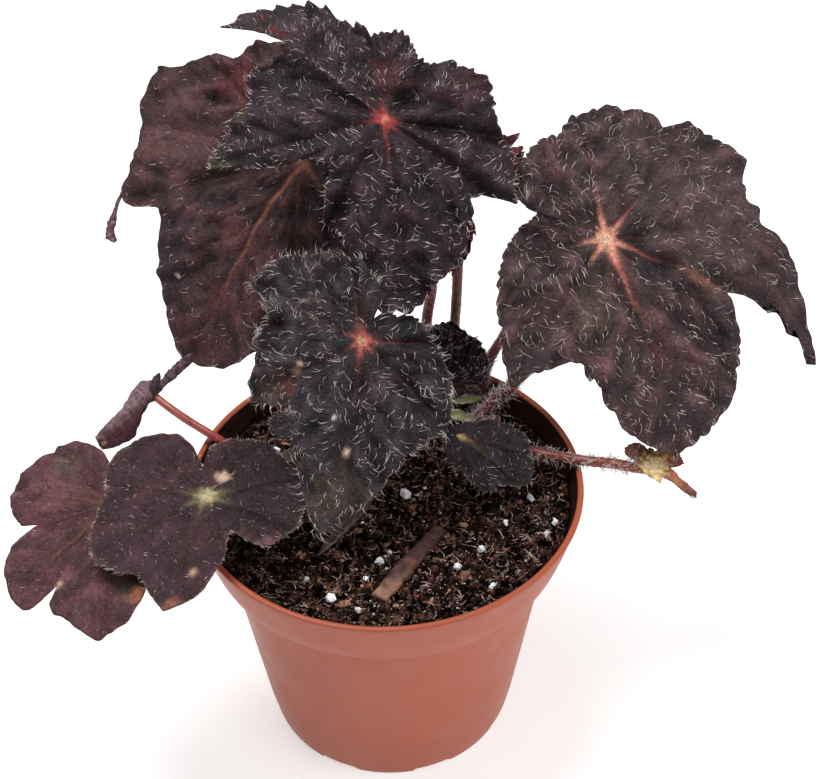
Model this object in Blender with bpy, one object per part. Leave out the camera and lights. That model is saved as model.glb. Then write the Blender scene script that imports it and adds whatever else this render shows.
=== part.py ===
"""A small hairy begonia with dark lobed leaves, growing in a 12 cm plastic nursery pot.

Metres, +Z up. The origin is the centre of the pot's flat base, and -Y is the front.
The sizes below are in millimetres, and mm() turns them into metres.
"""
import math

import bmesh
import bpy
import numpy as np
from mathutils import Matrix, Vector

GAP = 0.3

# Pot: heights from the base, radii of the outer side
POT_HEIGHT = 93.0
RIM_RADIUS = 60.0
LIP_HEIGHT = 1.4
LIP_WIDTH = 1.8
COLLAR_TOP_RADIUS = 59.6
COLLAR_BOTTOM_RADIUS = 54.8
COLLAR_DROP = 18.3
BODY_TOP_RADIUS = 51.4
BASE_RADIUS = 39.4
WALL = 1.3
FLOOR = 3.0
POT_SIDES = 64
NOTCHES = 8
NOTCH_WIDTH = 12.0
NOTCH_HEIGHT = 1.6
NOTCH_DEPTH = 4.0
FIRST_NOTCH = 19.5
DRAINS = 4
DRAIN_RADIUS = 3.5
DRAIN_CIRCLE = 22.0

# Soil, the holes the stalks stand in, and the perlite on it (x, y, half-size)
SOIL_LEVEL = 85.5
SOIL_LUMPS = 0.7
SOIL_RINGS = (5, 14, 22, 30, 38, 46, 52)
STALK_FOOT = 81.0
HOLE_ROOM = 0.45
GRAINS = [
    (6, 1, 2.1), (-2, -27, 1.5), (-6, -34, 1.2), (-23, -34, 1.2), (-16, -43, 1.5), (-8, -46, 1.1),
    (28, -23, 1.2), (21, -29, 1.4), (31, -37, 1.2), (44, -2, 1.6), (51, -12, 1.2), (48, -17, 1.3),
    (36, -11, 1.3), (-13, -26, 1.1), (-35, 22, 1.6), (1, -24, 1.0),
]

# Leaves
BLADE = 0.8
LARGE_RINGS = (0.22, 0.48, 0.75, 1.0)
SMALL_RINGS = (0.35, 0.7, 1.0)
LARGE_REACH = 35.0
WIDEST_STEP = 9.5
CALM_REACH = 9.0

# Each blade has the place of its hub, how far its face leans and toward which compass direction
# (0 = +X, 90 = +Y), and its margin as (direction, reach) from the hub, seen on its face.
# hooks are (lobe direction, spread, reach where the lobe starts to turn sideways, degrees of turn),
# bends are (lobe direction, spread, drop at the margin).
LEAVES = {
    "leaf_top": dict(
        hub=(1.4, 68.7, 178), lean=48, toward=-92,
        margin=[
            (3, 33), (355, 35), (345, 38.5), (335, 42), (325, 46.5), (321, 38.5), (318, 36), (311, 39.5),
            (304, 42), (297, 45.5), (288, 49.5), (281, 51), (273, 58), (265, 48), (256, 40), (248, 37),
            (239, 37), (235, 31), (226, 27), (216, 20), (206, 24), (203, 35), (199, 43), (194, 57),
            (185, 49.5), (176, 45), (169, 40.5), (162, 45), (155, 43.5), (151, 41), (147, 56.5), (140, 52),
            (131, 48), (122, 42), (113, 37), (107, 30.5), (98, 26.5), (86, 26.5), (76, 26.5), (66, 23),
            (54, 21), (44, 24), (36, 28), (28, 30), (19, 34), (11, 33),
        ],
        veins=[0, 52, 98, 142, 192, 240, 273, 324], puff=2.2, droop=3.0, wave=0.9, waves=19,
        bends=[(170, 14, 4)],
    ),
    "leaf_right": dict(
        hub=(68, 47, 148), lean=36, toward=-72,
        margin=[
            (92, 43), (84, 44), (74, 44.5), (65, 43.5), (58, 48.5), (50, 49), (43, 51), (35, 54.5),
            (30, 51.5), (23, 49), (15, 51.5), (9, 53.5), (4, 58), (359, 61.5), (355.5, 65.5),
            (352.5, 67.5), (350, 71), (347, 77), (346, 69), (345, 63), (344, 57), (343, 50), (341, 42),
            (337, 41), (331, 48), (326, 51.5), (318, 57),
            (311, 62), (304, 65), (296, 68), (290, 70), (285, 66), (277, 62), (272, 53), (267, 45),
            (260, 40), (251, 44), (242, 55.5), (236, 51), (229, 46.5), (221, 42.5), (212, 39), (205, 36),
            (196, 34), (187, 29.5), (177, 25.5), (169, 21.5), (163, 27.5), (156, 30.5), (149, 34),
            (138, 35.5), (126, 36.5), (113, 37), (105, 39.5), (98, 41.5),
        ],
        veins=[100, 55, 12, 344, 294, 241, 196, 146], puff=2.2, droop=3.0, wave=0.9, waves=21,
        hooks=[(346, 20, 44, -11.5)],
    ),
    "leaf_front": dict(
        hub=(-5.9, 9.3, 140), lean=42, toward=-95,
        margin=[
            (150, 38), (143, 36.5), (134, 35), (126, 33), (117, 29.5), (106, 27), (98, 26), (88, 23.5),
            (80, 20), (70, 17), (63, 13.5), (60, 7.5), (51, 9.5), (43, 11), (35, 12.5), (24, 16),
            (13, 18.5), (1, 20), (353, 22), (344, 24.5), (336, 27), (327, 30), (318, 33.5), (310, 36),
            (299, 34.5), (290, 35.5), (281, 39), (274, 44), (268, 48), (262, 50.5), (256, 58), (252, 55),
            (247, 48), (242, 42), (236, 39.5), (232, 35), (228, 27.5), (220, 28.5), (213, 32), (206, 37),
            (199, 35), (190, 32.5), (176, 30), (161, 28.5), (155, 31.5),
        ],
        veins=[149, 98, 40, 358, 312, 256, 205], puff=2.4, droop=2.0, wave=0.8, waves=17,
    ),
    "leaf_back_left": dict(
        hub=(-24.9, 85.9, 152), lean=45, toward=-115,
        margin=[
            (103, 43.5), (110, 45), (117, 45.5), (124, 53.5), (132, 56.5), (137, 64.5), (150, 64.5),
            (160, 61), (168, 62.5), (172, 64.5), (174, 67), (177, 71.5), (179.5, 68), (181, 59), (183, 54),
            (188, 52), (195, 55), (207, 61.5),
            (214, 65), (221, 68), (226, 74), (233, 73.5), (239, 72), (243, 66.5), (248, 61), (260, 54.5),
            (272, 48.5), (286, 48.5), (300, 46), (315, 41), (327, 36), (335, 14), (343, 27), (355, 29),
            (10, 30), (25, 31), (40, 32), (55, 35), (70, 38), (85, 41),
        ],
        veins=[125, 156, 178, 226, 262, 305, 15, 70], puff=2.6, droop=2.0, wave=0.9, waves=18,
        hooks=[(178, 18, 56, 11)],
    ),
    "leaf_front_left": dict(
        hub=(-51.7, -19, 106), lean=8, toward=-100,
        margin=[
            (91, 17.5), (80, 20.5), (71, 23), (58, 25), (45, 25.5), (32, 25.5), (20, 27), (9, 28),
            (353, 28.5), (337, 29), (325, 27.5), (317, 27), (310, 22.5), (302, 14.5), (292, 18.5),
            (285, 23), (279, 27), (272, 32), (263, 37), (256, 39.5), (248, 36), (242, 33.5), (236, 31.5),
            (228, 34.5), (217, 37), (208, 36.5), (199, 34.5), (185, 31), (173, 29.5), (159, 32),
            (148, 32.5), (136, 31.5), (124, 29), (113, 25), (106, 19.5), (101, 9),
        ],
        veins=[62, 15, 338, 284, 254, 210, 165, 128], puff=1.2, droop=2.4, wave=0.5, waves=9,
    ),
    "leaf_far_left": dict(
        hub=(-80.6, -13.9, 98), lean=10, toward=-140,
        margin=[
            (132, 29), (127, 32), (119, 29.5), (109, 25), (102, 19), (92, 8), (80, 16), (62, 21),
            (42, 24), (20, 25), (0, 27), (340, 28), (322, 28), (306, 30), (292, 33), (286, 37.5),
            (280, 41), (275, 44.5), (269, 45.5), (262, 43), (256, 40), (250, 39.5), (246, 37), (244, 30.5),
            (241, 35.5), (238, 38.5), (234, 40.5), (226, 40.4), (216, 37.5), (208, 34.7), (202, 32.5),
            (196, 29.5), (190, 22), (186, 28), (178, 30.5), (168, 32.5), (160, 33.5), (151, 33.5), (141, 32),
        ],
        veins=[125, 160, 185, 226, 270, 310, 350, 40], puff=1.3, droop=2.4, wave=0.6, waves=9,
    ),
    "leaf_rolled": dict(
        hub=(-71, 30.2, 104), lean=49, toward=145,
        margin=[
            (28, 15.5), (40, 9), (60, 11), (90, 13), (120, 13), (150, 14), (180, 18), (198, 23),
            (210, 26), (222, 22), (240, 16), (265, 12), (290, 8), (325, 6), (350, 5), (5, 8), (16, 12),
        ],
        veins=[28, 90, 150, 210, 270, 330], puff=0.8, droop=3, wave=0.5, waves=7,
        bends=[(163, 35, -4.5), (240, 26, 5), (28, 25, -3), (112, 12, -5)],
    ),
    "leaf_small": dict(
        hub=(22.7, 8.6, 103), lean=22, toward=-60,
        margin=[
            (178, 4), (110, 4), (84, 4), (60, 6), (45, 8), (33, 13), (19, 17.5), (5, 21), (352, 22.5),
            (340, 24), (328, 26), (319, 22), (310, 19.5), (298, 20), (287, 16.5), (277, 13), (255, 11),
            (238, 8), (205, 6),
        ],
        veins=[30, 355, 326, 295, 160], puff=0.9, droop=3, wave=0.3, waves=11,
    ),
    "leaf_torn": dict(
        hub=(81.5, 0.3, 97), lean=15, toward=-90,
        margin=[
            (140, 11), (161, 10), (176, 6), (212, 5.5), (248, 6.5), (270, 6), (290, 4.5), (302, 8),
            (311, 16), (319, 15.5), (325, 10.5), (332, 8), (340, 5), (352, 5.5), (6, 9), (24, 9.5),
            (40, 8), (57, 6.5), (75, 5), (92, 4.7), (105, 6), (117, 8), (128, 9),
        ],
        veins=[15, 140, 200, 250, 314], puff=0.4, droop=0, wave=0.0, waves=3,
    ),
    "leaf_young": dict(
        hub=(23, 35.8, 98.4), lean=62, toward=-90,
        margin=[
            (113, 22), (103, 22.5), (95, 22), (87, 20), (78, 18), (69, 17.5), (57, 15.5), (38, 12.5),
            (24, 9), (8, 5), (335, 2.6), (270, 2.2), (205, 2.6), (165, 6), (145, 12), (128, 18),
        ],
        veins=[20, 45, 62, 78, 94, 110, 130], puff=1.2, droop=-6, wave=0.0, waves=3,
    ),
    "leaf_back_centre": dict(
        hub=(27.4, 68, 150), lean=45, toward=-80,
        margin=[
            (278, 12), (270, 17), (260, 24.5), (252, 29), (245, 23), (237, 17), (222, 13), (200, 10),
            (170, 9), (140, 11), (110, 17), (85, 21), (66, 23), (60, 24.5), (54, 27.5), (50, 22), (40, 23.5),
            (30, 17), (15, 13.5), (3, 12), (350, 8), (330, 6.5), (300, 6.5), (286, 8.5),
        ],
        veins=[250, 200, 140, 90, 50, 5], puff=1.2, droop=4, wave=0.8, waves=13,
    ),
    "leaf_back_right": dict(
        hub=(56, 60, 130), lean=40, toward=-75,
        margin=[
            (280, 19), (255, 16), (235, 14), (205, 15), (180, 13), (150, 15), (120, 17), (95, 20),
            (70, 18), (45, 22), (20, 19), (0, 21), (335, 18), (312, 20), (296, 10),
        ],
        veins=[280, 205, 95, 45, 0, 315], puff=1.0, droop=4, wave=0.5, waves=9,
    ),
    "leaf_bud": dict(
        hub=(-30.6, 28.6, 88.4), lean=30, toward=-95,
        margin=[
            (200, 5), (170, 6.5), (140, 7.5), (110, 6.5), (80, 6), (50, 7.5), (20, 6.5), (345, 5),
            (315, 3.5), (270, 2.5), (230, 3.5),
        ],
        veins=[50, 95, 140, 0, 200, 270], puff=0.3, droop=0, wave=0.0, waves=3,
    ),
}

# Each stalk has its half-thickness, where it stands in the soil, and the points that it passes
# on its way to the underside of its blade's hub.
STALKS = {
    "stalk_top": dict(
        leaf="leaf_top", half=1.3, foot=(14, 46),
        way=[(13.4, 49, 114.4), (15.0, 52, 132), (10, 62.5, 157)],
    ),
    "stalk_right": dict(
        leaf="leaf_right", half=2.1, foot=(29, 30),
        way=[(35, 30, 99), (40.8, 29, 107.5), (52, 36, 124)],
    ),
    "stalk_front": dict(
        leaf="leaf_front", half=1.6, foot=(11, 21), way=[(7, 21, 110), (0, 17.5, 126)],
    ),
    "stalk_back_left": dict(
        leaf="leaf_back_left", half=1.4, foot=(4, 36), way=[(2, 55, 112), (-10, 73, 131)],
    ),
    "stalk_front_left": dict(
        leaf="leaf_front_left", half=1.4, foot=(-36, 5), way=[(-42, -6, 96)],
    ),
    "stalk_far_left": dict(
        leaf="leaf_far_left", half=1.2, foot=(-41, 4),
        way=[(-48, -1, 94.9), (-58, -5.5, 95.6), (-70, -10, 94.4)],
    ),
    "stalk_rolled": dict(
        leaf="leaf_rolled", half=1.2, foot=(-43, 14), way=[(-52, 16.5, 96.2), (-60.8, 21, 99.5)],
    ),
    "stalk_small": dict(leaf="leaf_small", half=1.1, foot=(19.5, 21), way=[]),
    "stalk_torn": dict(
        leaf="leaf_torn", half=1.6, foot=(28, 22),
        way=[(44.9, 11.2, 93.4), (60.1, 4.2, 96.2), (70, 2.2, 94.6), (76, 1.2, 93.4)],
    ),
    "stalk_young": dict(leaf="leaf_young", half=1.1, foot=(23, 44), way=[]),
    "stalk_back_centre": dict(
        leaf="leaf_back_centre", half=1.2, foot=(20, 48.5), way=[(22.4, 55.5, 108), (23.6, 60.5, 130)],
    ),
    "stalk_back_right": dict(
        leaf="leaf_back_right", half=1.5, foot=(30, 42),
        way=[(31.2, 42.8, 96), (33.2, 43.6, 103.6), (40.2, 48.5, 113.5)],
    ),
}
APPROACH = 5.0
TURN = 0.12

# Pieces that lie on the soil: their middle line, half-width along it, and height against width
LYING = {
    "creeping_stem": dict(
        line=[(-34, 12, 90.2), (-16, 18, 90.2), (4, 28, 90.2), (22, 34.5, 90.2)],
        half=[3.2, 4.4, 4.6, 4.6, 3.9], flat=0.78, colour="stem",
    ),
    "stipule_upper": dict(
        line=[(31, 36.4, 94.6), (26.5, 34.8, 95.2), (21.5, 33.2, 94.9)],
        half=[0.8, 1.6, 1.7, 1.4, 0.8], flat=0.4, colour="stipule",
    ),
    "stipule_lower": dict(
        line=[(18.5, 31.0, 93.8), (22.6, 28.2, 94.3), (27.6, 25.9, 93.4)],
        half=[0.8, 1.7, 1.7, 1.3, 0.8], flat=0.4, colour="stipule",
    ),
    "old_leaf": dict(
        line=[(-4, -1.6, 87.5), (-12, -13, 87.6), (-20.5, -26, 87.2)],
        half=[1.2, 2.2, 2.2, 1.6, 0.8], flat=0.62, colour="stalk_red",
    ),
    "bark_chip": dict(
        line=[(16, -16, 88.4), (7, -29.5, 88.4), (-2, -43.5, 88.4)],
        half=[1.6, 2.3, 2.6, 3.0, 2.4], flat=0.6, colour="bark",
    ),
}

COLOURS = {
    "pot": ((0.38, 0.13, 0.09), 0.5),
    "soil": ((0.012, 0.009, 0.007), 0.95),
    "stem": ((0.09, 0.05, 0.035), 0.8),
    "stipule": ((0.22, 0.22, 0.10), 0.6),
    "blade_black": ((0.035, 0.024, 0.03), 0.5),
    "blade_maroon": ((0.075, 0.035, 0.036), 0.5),
    "blade_plum": ((0.05, 0.026, 0.032), 0.4),
    "blade_rose": ((0.14, 0.08, 0.09), 0.5),
    "blade_torn": ((0.45, 0.35, 0.16), 0.55),
    "stalk_red": ((0.22, 0.04, 0.04), 0.5),
    "stalk_pink": ((0.35, 0.09, 0.08), 0.5),
    "bark": ((0.28, 0.17, 0.12), 0.85),
}
BLADE_COLOUR = {
    "leaf_back_left": "blade_maroon", "leaf_far_left": "blade_maroon", "leaf_front_left": "blade_plum",
    "leaf_rolled": "blade_rose", "leaf_torn": "blade_torn",
}
PALE_STALKS = ("stalk_rolled", "stalk_torn")


def mm(length):
    """Millimetres as metres: a number, or a point as a Vector."""
    if isinstance(length, (int, float)):
        return length * 0.001
    return Vector([float(part) * 0.001 for part in length])


def clear_scene():
    for thing in list(bpy.data.objects):
        bpy.data.objects.remove(thing, do_unlink=True)


def colour(name):
    """The material of that name, made when it is first asked for."""
    made = bpy.data.materials.get(name)
    if made:
        return made
    (red, green, blue), rough = COLOURS[name]
    made = bpy.data.materials.new(name)
    made.use_nodes = True
    shader = made.node_tree.nodes["Principled BSDF"]
    shader.inputs["Base Color"].default_value = (red, green, blue, 1)
    shader.inputs["Roughness"].default_value = rough
    shader.inputs["Metallic"].default_value = 0
    return made


def empty(name, parent=None):
    made = bpy.data.objects.new(name, None)
    made.empty_display_size = 0.01
    made.parent = parent
    bpy.context.scene.collection.objects.link(made)
    return made


def place(name, data, material, parent, location=(0, 0, 0), turn=None):
    """An object of that mesh or curve, at a place in millimetres and turned by a matrix."""
    piece = bpy.data.objects.new(name, data)
    bpy.context.scene.collection.objects.link(piece)
    data.materials.append(colour(material))
    piece.location = mm(location)
    if turn is not None:
        piece.rotation_euler = turn.to_euler()
    piece.parent = parent
    return piece


def finished(name, shape, sharp=35):
    """A mesh from a bmesh, shaded smooth but for its sharp edges."""
    mesh = bpy.data.meshes.new(name)
    shape.to_mesh(mesh)
    shape.free()
    mesh.shade_smooth()
    mesh.set_sharp_from_angle(angle=math.radians(sharp))
    return mesh


def applied(piece, name):
    """The piece's modifiers made part of its mesh."""
    shape = bpy.context.evaluated_depsgraph_get()
    shape.update()
    result = bpy.data.meshes.new_from_object(piece.evaluated_get(shape))
    result.name = name
    piece.modifiers.clear()
    piece.data = result


def group_of(name, pieces):
    """A collection that holds those pieces and nothing else."""
    group = bpy.data.collections.new(name)
    bpy.context.scene.collection.children.link(group)
    for piece in pieces:
        bpy.context.scene.collection.objects.unlink(piece)
        group.objects.link(piece)
    return group


def boolean(piece, group, operation):
    step = piece.modifiers.new(operation.lower(), "BOOLEAN")
    step.operation = operation
    step.operand_type = "COLLECTION"
    step.collection = group
    step.solver = "EXACT"


def cutters(name, pieces):
    """A collection of pieces that only cut, and aren't part of the object."""
    for piece in pieces:
        piece.hide_render = True
        piece.display_type = "WIRE"
    return group_of(name, pieces)


def disc(name, radius, low, high, sides, parent, centre=(0, 0)):
    """An upright round cutter."""
    shape = bmesh.new()
    bmesh.ops.create_cone(
        shape, cap_ends=True, segments=sides, radius1=mm(radius), radius2=mm(radius), depth=mm(high - low),
    )
    return place(name, finished(name, shape), "pot", parent, (*centre, (high + low) / 2))


def collar_radius(height):
    """Outer radius of the tapered collar band at a height."""
    heights = [POT_HEIGHT - COLLAR_DROP, POT_HEIGHT - LIP_HEIGHT]
    return float(np.interp(height, heights, [COLLAR_BOTTOM_RADIUS, COLLAR_TOP_RADIUS]))


def make_pot(parent):
    """A thin tapered wall with a lip, a collar band that ends in a step, and a flat floor.

    The profile goes from the middle of the floor up the inner side, over the lip and down the
    outer side to the middle of the base, and is screwed once round.
    """
    step = POT_HEIGHT - COLLAR_DROP
    profile = [
        (0, FLOOR), (BASE_RADIUS - WALL + 0.4, FLOOR), (BODY_TOP_RADIUS - WALL, step - 1),
        (COLLAR_BOTTOM_RADIUS - WALL, step + 1), (RIM_RADIUS - LIP_WIDTH, POT_HEIGHT - 0.4),
        (RIM_RADIUS - LIP_WIDTH + 0.4, POT_HEIGHT), (RIM_RADIUS - 0.4, POT_HEIGHT),
        (RIM_RADIUS, POT_HEIGHT - 0.4), (RIM_RADIUS, POT_HEIGHT - LIP_HEIGHT),
        (COLLAR_TOP_RADIUS, POT_HEIGHT - LIP_HEIGHT - 0.2), (COLLAR_BOTTOM_RADIUS, step),
        (BODY_TOP_RADIUS, step - 0.4), (BASE_RADIUS, 0.8), (BASE_RADIUS - 0.6, 0), (0, 0),
    ]
    shape = bmesh.new()
    corners = [shape.verts.new((mm(radius), 0, mm(height))) for radius, height in profile]
    for a, b in zip(corners, corners[1:]):
        shape.edges.new((a, b))
    pot = place("pot", finished("pot", shape), "pot", parent)
    turned = pot.modifiers.new("turned", "SCREW")
    turned.steps = turned.render_steps = POT_SIDES
    turned.use_merge_vertices = True
    turned.merge_threshold = 0.0001
    turned.use_smooth_shade = True
    tools = []
    for k in range(NOTCHES):
        turn = math.radians(-90 + FIRST_NOTCH + k * 360 / NOTCHES)
        shape = bmesh.new()
        bmesh.ops.create_cube(shape, size=1)
        bmesh.ops.scale(shape, verts=shape.verts, vec=mm((2 * NOTCH_DEPTH, NOTCH_WIDTH, 2 * NOTCH_HEIGHT)))
        where = (BASE_RADIUS * math.cos(turn), BASE_RADIUS * math.sin(turn), 0)
        name = f"notch_{k}"
        tools.append(place(name, finished(name, shape), "pot", parent, where, Matrix.Rotation(turn, 3, "Z")))
    for k in range(DRAINS):
        turn = 2 * math.pi * (k + 0.5) / DRAINS
        centre = (DRAIN_CIRCLE * math.cos(turn), DRAIN_CIRCLE * math.sin(turn))
        tools.append(disc(f"drain_{k}", DRAIN_RADIUS, -2, FLOOR + 2, 16, parent, centre))
    boolean(pot, cutters("pot_cutters", tools), "DIFFERENCE")


def ringed(sides, rings, where):
    """A sheet grown outward from a small disc, one ring of edges after another.

    where(k, i) gives the place of point i on ring k in millimetres; ring 0 is the middle point.
    """
    shape = bmesh.new()
    bmesh.ops.create_circle(shape, cap_ends=True, cap_tris=True, segments=sides, radius=1)
    for k in range(1, rings):
        margin = [edge for edge in shape.edges if edge.is_boundary]
        grown = bmesh.ops.extrude_edge_only(shape, edges=margin)["geom"]
        for point in grown:
            if isinstance(point, bmesh.types.BMVert):
                point.co *= (k + 1) / k
    bmesh.ops.recalc_face_normals(shape, faces=shape.faces)
    if sum(face.normal.z for face in shape.faces) < 0:
        bmesh.ops.reverse_faces(shape, faces=shape.faces)
    bmesh.ops.triangulate(shape, faces=shape.faces, quad_method="FIXED")
    for point in shape.verts:
        ring = round(point.co.length)
        side = round(math.atan2(point.co.y, point.co.x) / (2 * math.pi) * sides) % sides
        point.co = mm(where(ring, side if ring else 0))
    return shape


def soil_height(x, y):
    """Gently lumpy top of the soil."""
    lumps = math.sin(0.31 * x + 1.1) * math.sin(0.27 * y) + 0.6 * math.sin(0.63 * x - 0.41 * y + 2)
    lumps += 0.5 * math.sin(0.5 * y + 0.9 * x)
    return SOIL_LEVEL + SOIL_LUMPS * max(-1.0, min(1.0, lumps / 1.6))


def make_soil(parent):
    """One body that fills the pot, with perlite fused to its top and a hole for each stalk."""
    step = POT_HEIGHT - COLLAR_DROP
    top = list(SOIL_RINGS) + [collar_radius(SOIL_LEVEL) - WALL - 2 * GAP]
    below = [
        (COLLAR_BOTTOM_RADIUS - WALL - GAP, step + 1.4), (BODY_TOP_RADIUS - WALL - GAP, step - 0.6),
        (BASE_RADIUS - WALL + 0.4 - GAP, FLOOR + GAP),
    ]

    def where(ring, side):
        turn = 2 * math.pi * side / POT_SIDES
        radius, height = below[ring - len(top) - 1] if ring > len(top) else ((0, *top)[ring], None)
        x, y = radius * math.cos(turn), radius * math.sin(turn)
        return x, y, soil_height(x, y) if height is None else height

    shape = ringed(POT_SIDES, len(top) + len(below), where)
    margin = [edge for edge in shape.edges if edge.is_boundary]
    bmesh.ops.contextual_create(shape, geom=margin)
    bmesh.ops.recalc_face_normals(shape, faces=shape.faces)
    soil = place("soil", finished("soil", shape), "soil", parent)
    holes = []
    for name, stalk in STALKS.items():
        holes.append(disc(
            name + "_hole", stalk["half"] + HOLE_ROOM, STALK_FOOT - GAP, POT_HEIGHT, 12, parent, stalk["foot"],
        ))
    tools = cutters("soil_cutters", holes)
    boolean(soil, tools, "DIFFERENCE")
    random = np.random.default_rng(5)
    grains = []
    for k, (x, y, half) in enumerate(GRAINS):
        shape = bmesh.new()
        bmesh.ops.create_icosphere(shape, subdivisions=1, radius=mm(half))
        for point in shape.verts:
            point.co *= random.uniform(0.8, 1.15)
        spin = Matrix.Rotation(random.uniform(0, 6), 3, "Z")
        where_now = (x, y, soil_height(x, y) + 0.35 * half)
        grains.append(place(f"grain_{k}", finished(f"grain_{k}", shape), "soil", parent, where_now, spin))
    boolean(soil, group_of("grains", grains), "UNION")
    applied(soil, "soil")
    for used in holes + grains:
        bpy.data.objects.remove(used, do_unlink=True)


def leaf_turn(leaf):
    """The turn that leans an upright face toward its direction."""
    lean, toward = math.radians(leaf["lean"]), math.radians(leaf["toward"])
    return Matrix.Rotation(lean, 3, (-math.sin(toward), math.cos(toward), 0))


def wrapped(angle):
    """An angle in degrees brought between -180 and 180."""
    return (angle + 180) % 360 - 180


def blade_surface(leaf, angle, share):
    """The upper face at a direction round the hub and a share of the way out to the margin.

    It is puffed up between the veins, waved toward the margin, and droops with the square of
    the distance from the hub.
    """
    points = np.array(leaf["margin"], float)
    far = float(np.interp(angle, points[:, 0], points[:, 1], period=360)) * share
    turned = angle
    for lobe, spread, start, bend in leaf.get("hooks", []):
        out = max(0.0, min(1.0, (far - start) / (points[:, 1].max() - start)))
        turned += bend * out * math.exp(-(wrapped(angle - lobe) / spread) ** 2)
    veins = sorted(vein % 360 for vein in leaf["veins"])
    before = max([vein for vein in veins if vein <= angle], default=veins[-1])
    after = min([vein for vein in veins if vein > angle], default=veins[0])
    between = ((angle - before) % 360) / ((after - before) % 360)
    calm = min(1.0, far / CALM_REACH)
    rise = calm * leaf["puff"] * math.sin(math.pi * between) ** 0.8 * share * (2 - 1.5 * share)
    rise -= leaf["droop"] * (far / 45) ** 2
    rise += leaf["wave"] * math.sin(math.radians(angle * leaf["waves"])) * share ** 3
    for lobe, spread, drop in leaf.get("bends", []):
        rise -= drop * math.exp(-(wrapped(angle - lobe) / spread) ** 2) * share ** 2
    turned = math.radians(turned)
    return far * math.cos(turned), far * math.sin(turned), rise


def blade_directions(leaf):
    """The directions of the margin's own points, with one more in the middle of each wide step."""
    own = np.sort([float(angle % 360) for angle, _ in leaf["margin"]])
    steps = np.diff(np.append(own, own[0] + 360))
    return np.sort(np.append(own, (own + steps / 2)[steps > WIDEST_STEP]) % 360)


def make_blade(name, leaf, parent):
    """A thin waved sheet, thickened downward so that both faces carry the same triangles."""
    directions = blade_directions(leaf)
    large = max(reach for _, reach in leaf["margin"]) > LARGE_REACH
    shares = (0, *(LARGE_RINGS if large else SMALL_RINGS))

    def where(ring, side):
        return blade_surface(leaf, directions[side], shares[ring])

    shape = ringed(len(directions), len(shares) - 1, where)
    material = BLADE_COLOUR.get(name, "blade_black")
    blade = place(name, finished(name, shape, 60), material, parent, leaf["hub"], leaf_turn(leaf))
    thick = blade.modifiers.new("thickness", "SOLIDIFY")
    thick.thickness = mm(BLADE)
    thick.offset = -1
    thick.use_rim = True


def curve_through(points, steps):
    """A smooth curve through all the points, with the same number of steps between each two."""
    p = np.asarray(points, float)
    p = np.concatenate([2 * p[:1] - p[1:2], p, 2 * p[-1:] - p[-2:-1]])
    t = (np.arange(steps) / steps)[:, None]
    runs = []
    for a, b, c, d in zip(p, p[1:], p[2:], p[3:]):
        square = 2 * a - 5 * b + 4 * c - d
        runs.append(0.5 * (2 * b + (c - a) * t + square * t ** 2 + (3 * b - a - 3 * c + d) * t ** 3))
    return np.concatenate(runs + [p[-2:-1]])


def rod(name, line, half, resolution, material, parent):
    """A round rod with closed ends along a line; half is its half-thickness along the line."""
    start = line[0]
    curve = bpy.data.curves.new(name, "CURVE")
    curve.dimensions = "3D"
    curve.bevel_depth = mm(float(max(half)))
    curve.bevel_resolution = resolution
    curve.use_fill_caps = True
    spline = curve.splines.new("POLY")
    spline.points.add(len(line) - 1)
    for point, where, radius in zip(spline.points, line - start, half):
        point.co = (*mm(where), 1)
        point.radius = radius / max(half)
    return place(name, curve, material, parent, start)


def make_stalk(name, stalk, parent):
    """A round stalk from its hole in the soil to just under its blade's hub."""
    leaf = LEAVES[stalk["leaf"]]
    hub = np.array(leaf["hub"], float)
    outward = np.array(leaf_turn(leaf) @ Vector((0, 0, 1)))
    x, y = stalk["foot"]
    onward = stalk["way"] + [tuple(hub - APPROACH * outward)]
    start = (x + TURN * (onward[0][0] - x), y + TURN * (onward[0][1] - y), SOIL_LEVEL + 5.5)
    points = [(x, y, STALK_FOOT), (x, y, SOIL_LEVEL - 1), (x, y, SOIL_LEVEL + 2.5), start]
    points += onward + [tuple(hub - (BLADE + 2 * GAP + 0.35 * stalk["half"]) * outward)]
    line = curve_through(points, 2)
    half = stalk["half"] * np.linspace(1, 0.85, len(line))
    rod(name, line, half, 2, "stalk_pink" if name in PALE_STALKS else "stalk_red", parent)


def make_lying(name, spec, parent):
    """A flattened rod that lies along a line on the soil or over the creeping stem."""
    line = curve_through(spec["line"], 4)
    line[:, 2] = line[0, 2] + (line[:, 2] - line[0, 2]) / spec["flat"]
    along, known = np.linspace(0, 1, len(line)), np.linspace(0, 1, len(spec["half"]))
    piece = rod(name, line, np.interp(along, known, spec["half"]), 3, spec["colour"], parent)
    piece.scale = (1, 1, spec["flat"])


def main():
    clear_scene()
    whole = empty("potted_begonia")
    plant = empty("plant", whole)
    make_pot(whole)
    make_soil(whole)
    for name, spec in LYING.items():
        make_lying(name, spec, plant)
    for name, leaf in LEAVES.items():
        make_blade(name, leaf, plant)
    for name, stalk in STALKS.items():
        make_stalk(name, stalk, plant)


main()
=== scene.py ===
"""Looks of a small hairy begonia with dark lobed leaves, in a terracotta-coloured nursery pot.

Lengths in the tables are millimetres, in the same frame as the CAD: +Z up from the pot's base,
-Y toward the viewer. Colours in the tables are screen values from 0 to 255. Directions on a leaf
are degrees round its hub, seen from above the blade.
"""
import math

import bpy
import numpy as np
from mathutils import Matrix


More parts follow.
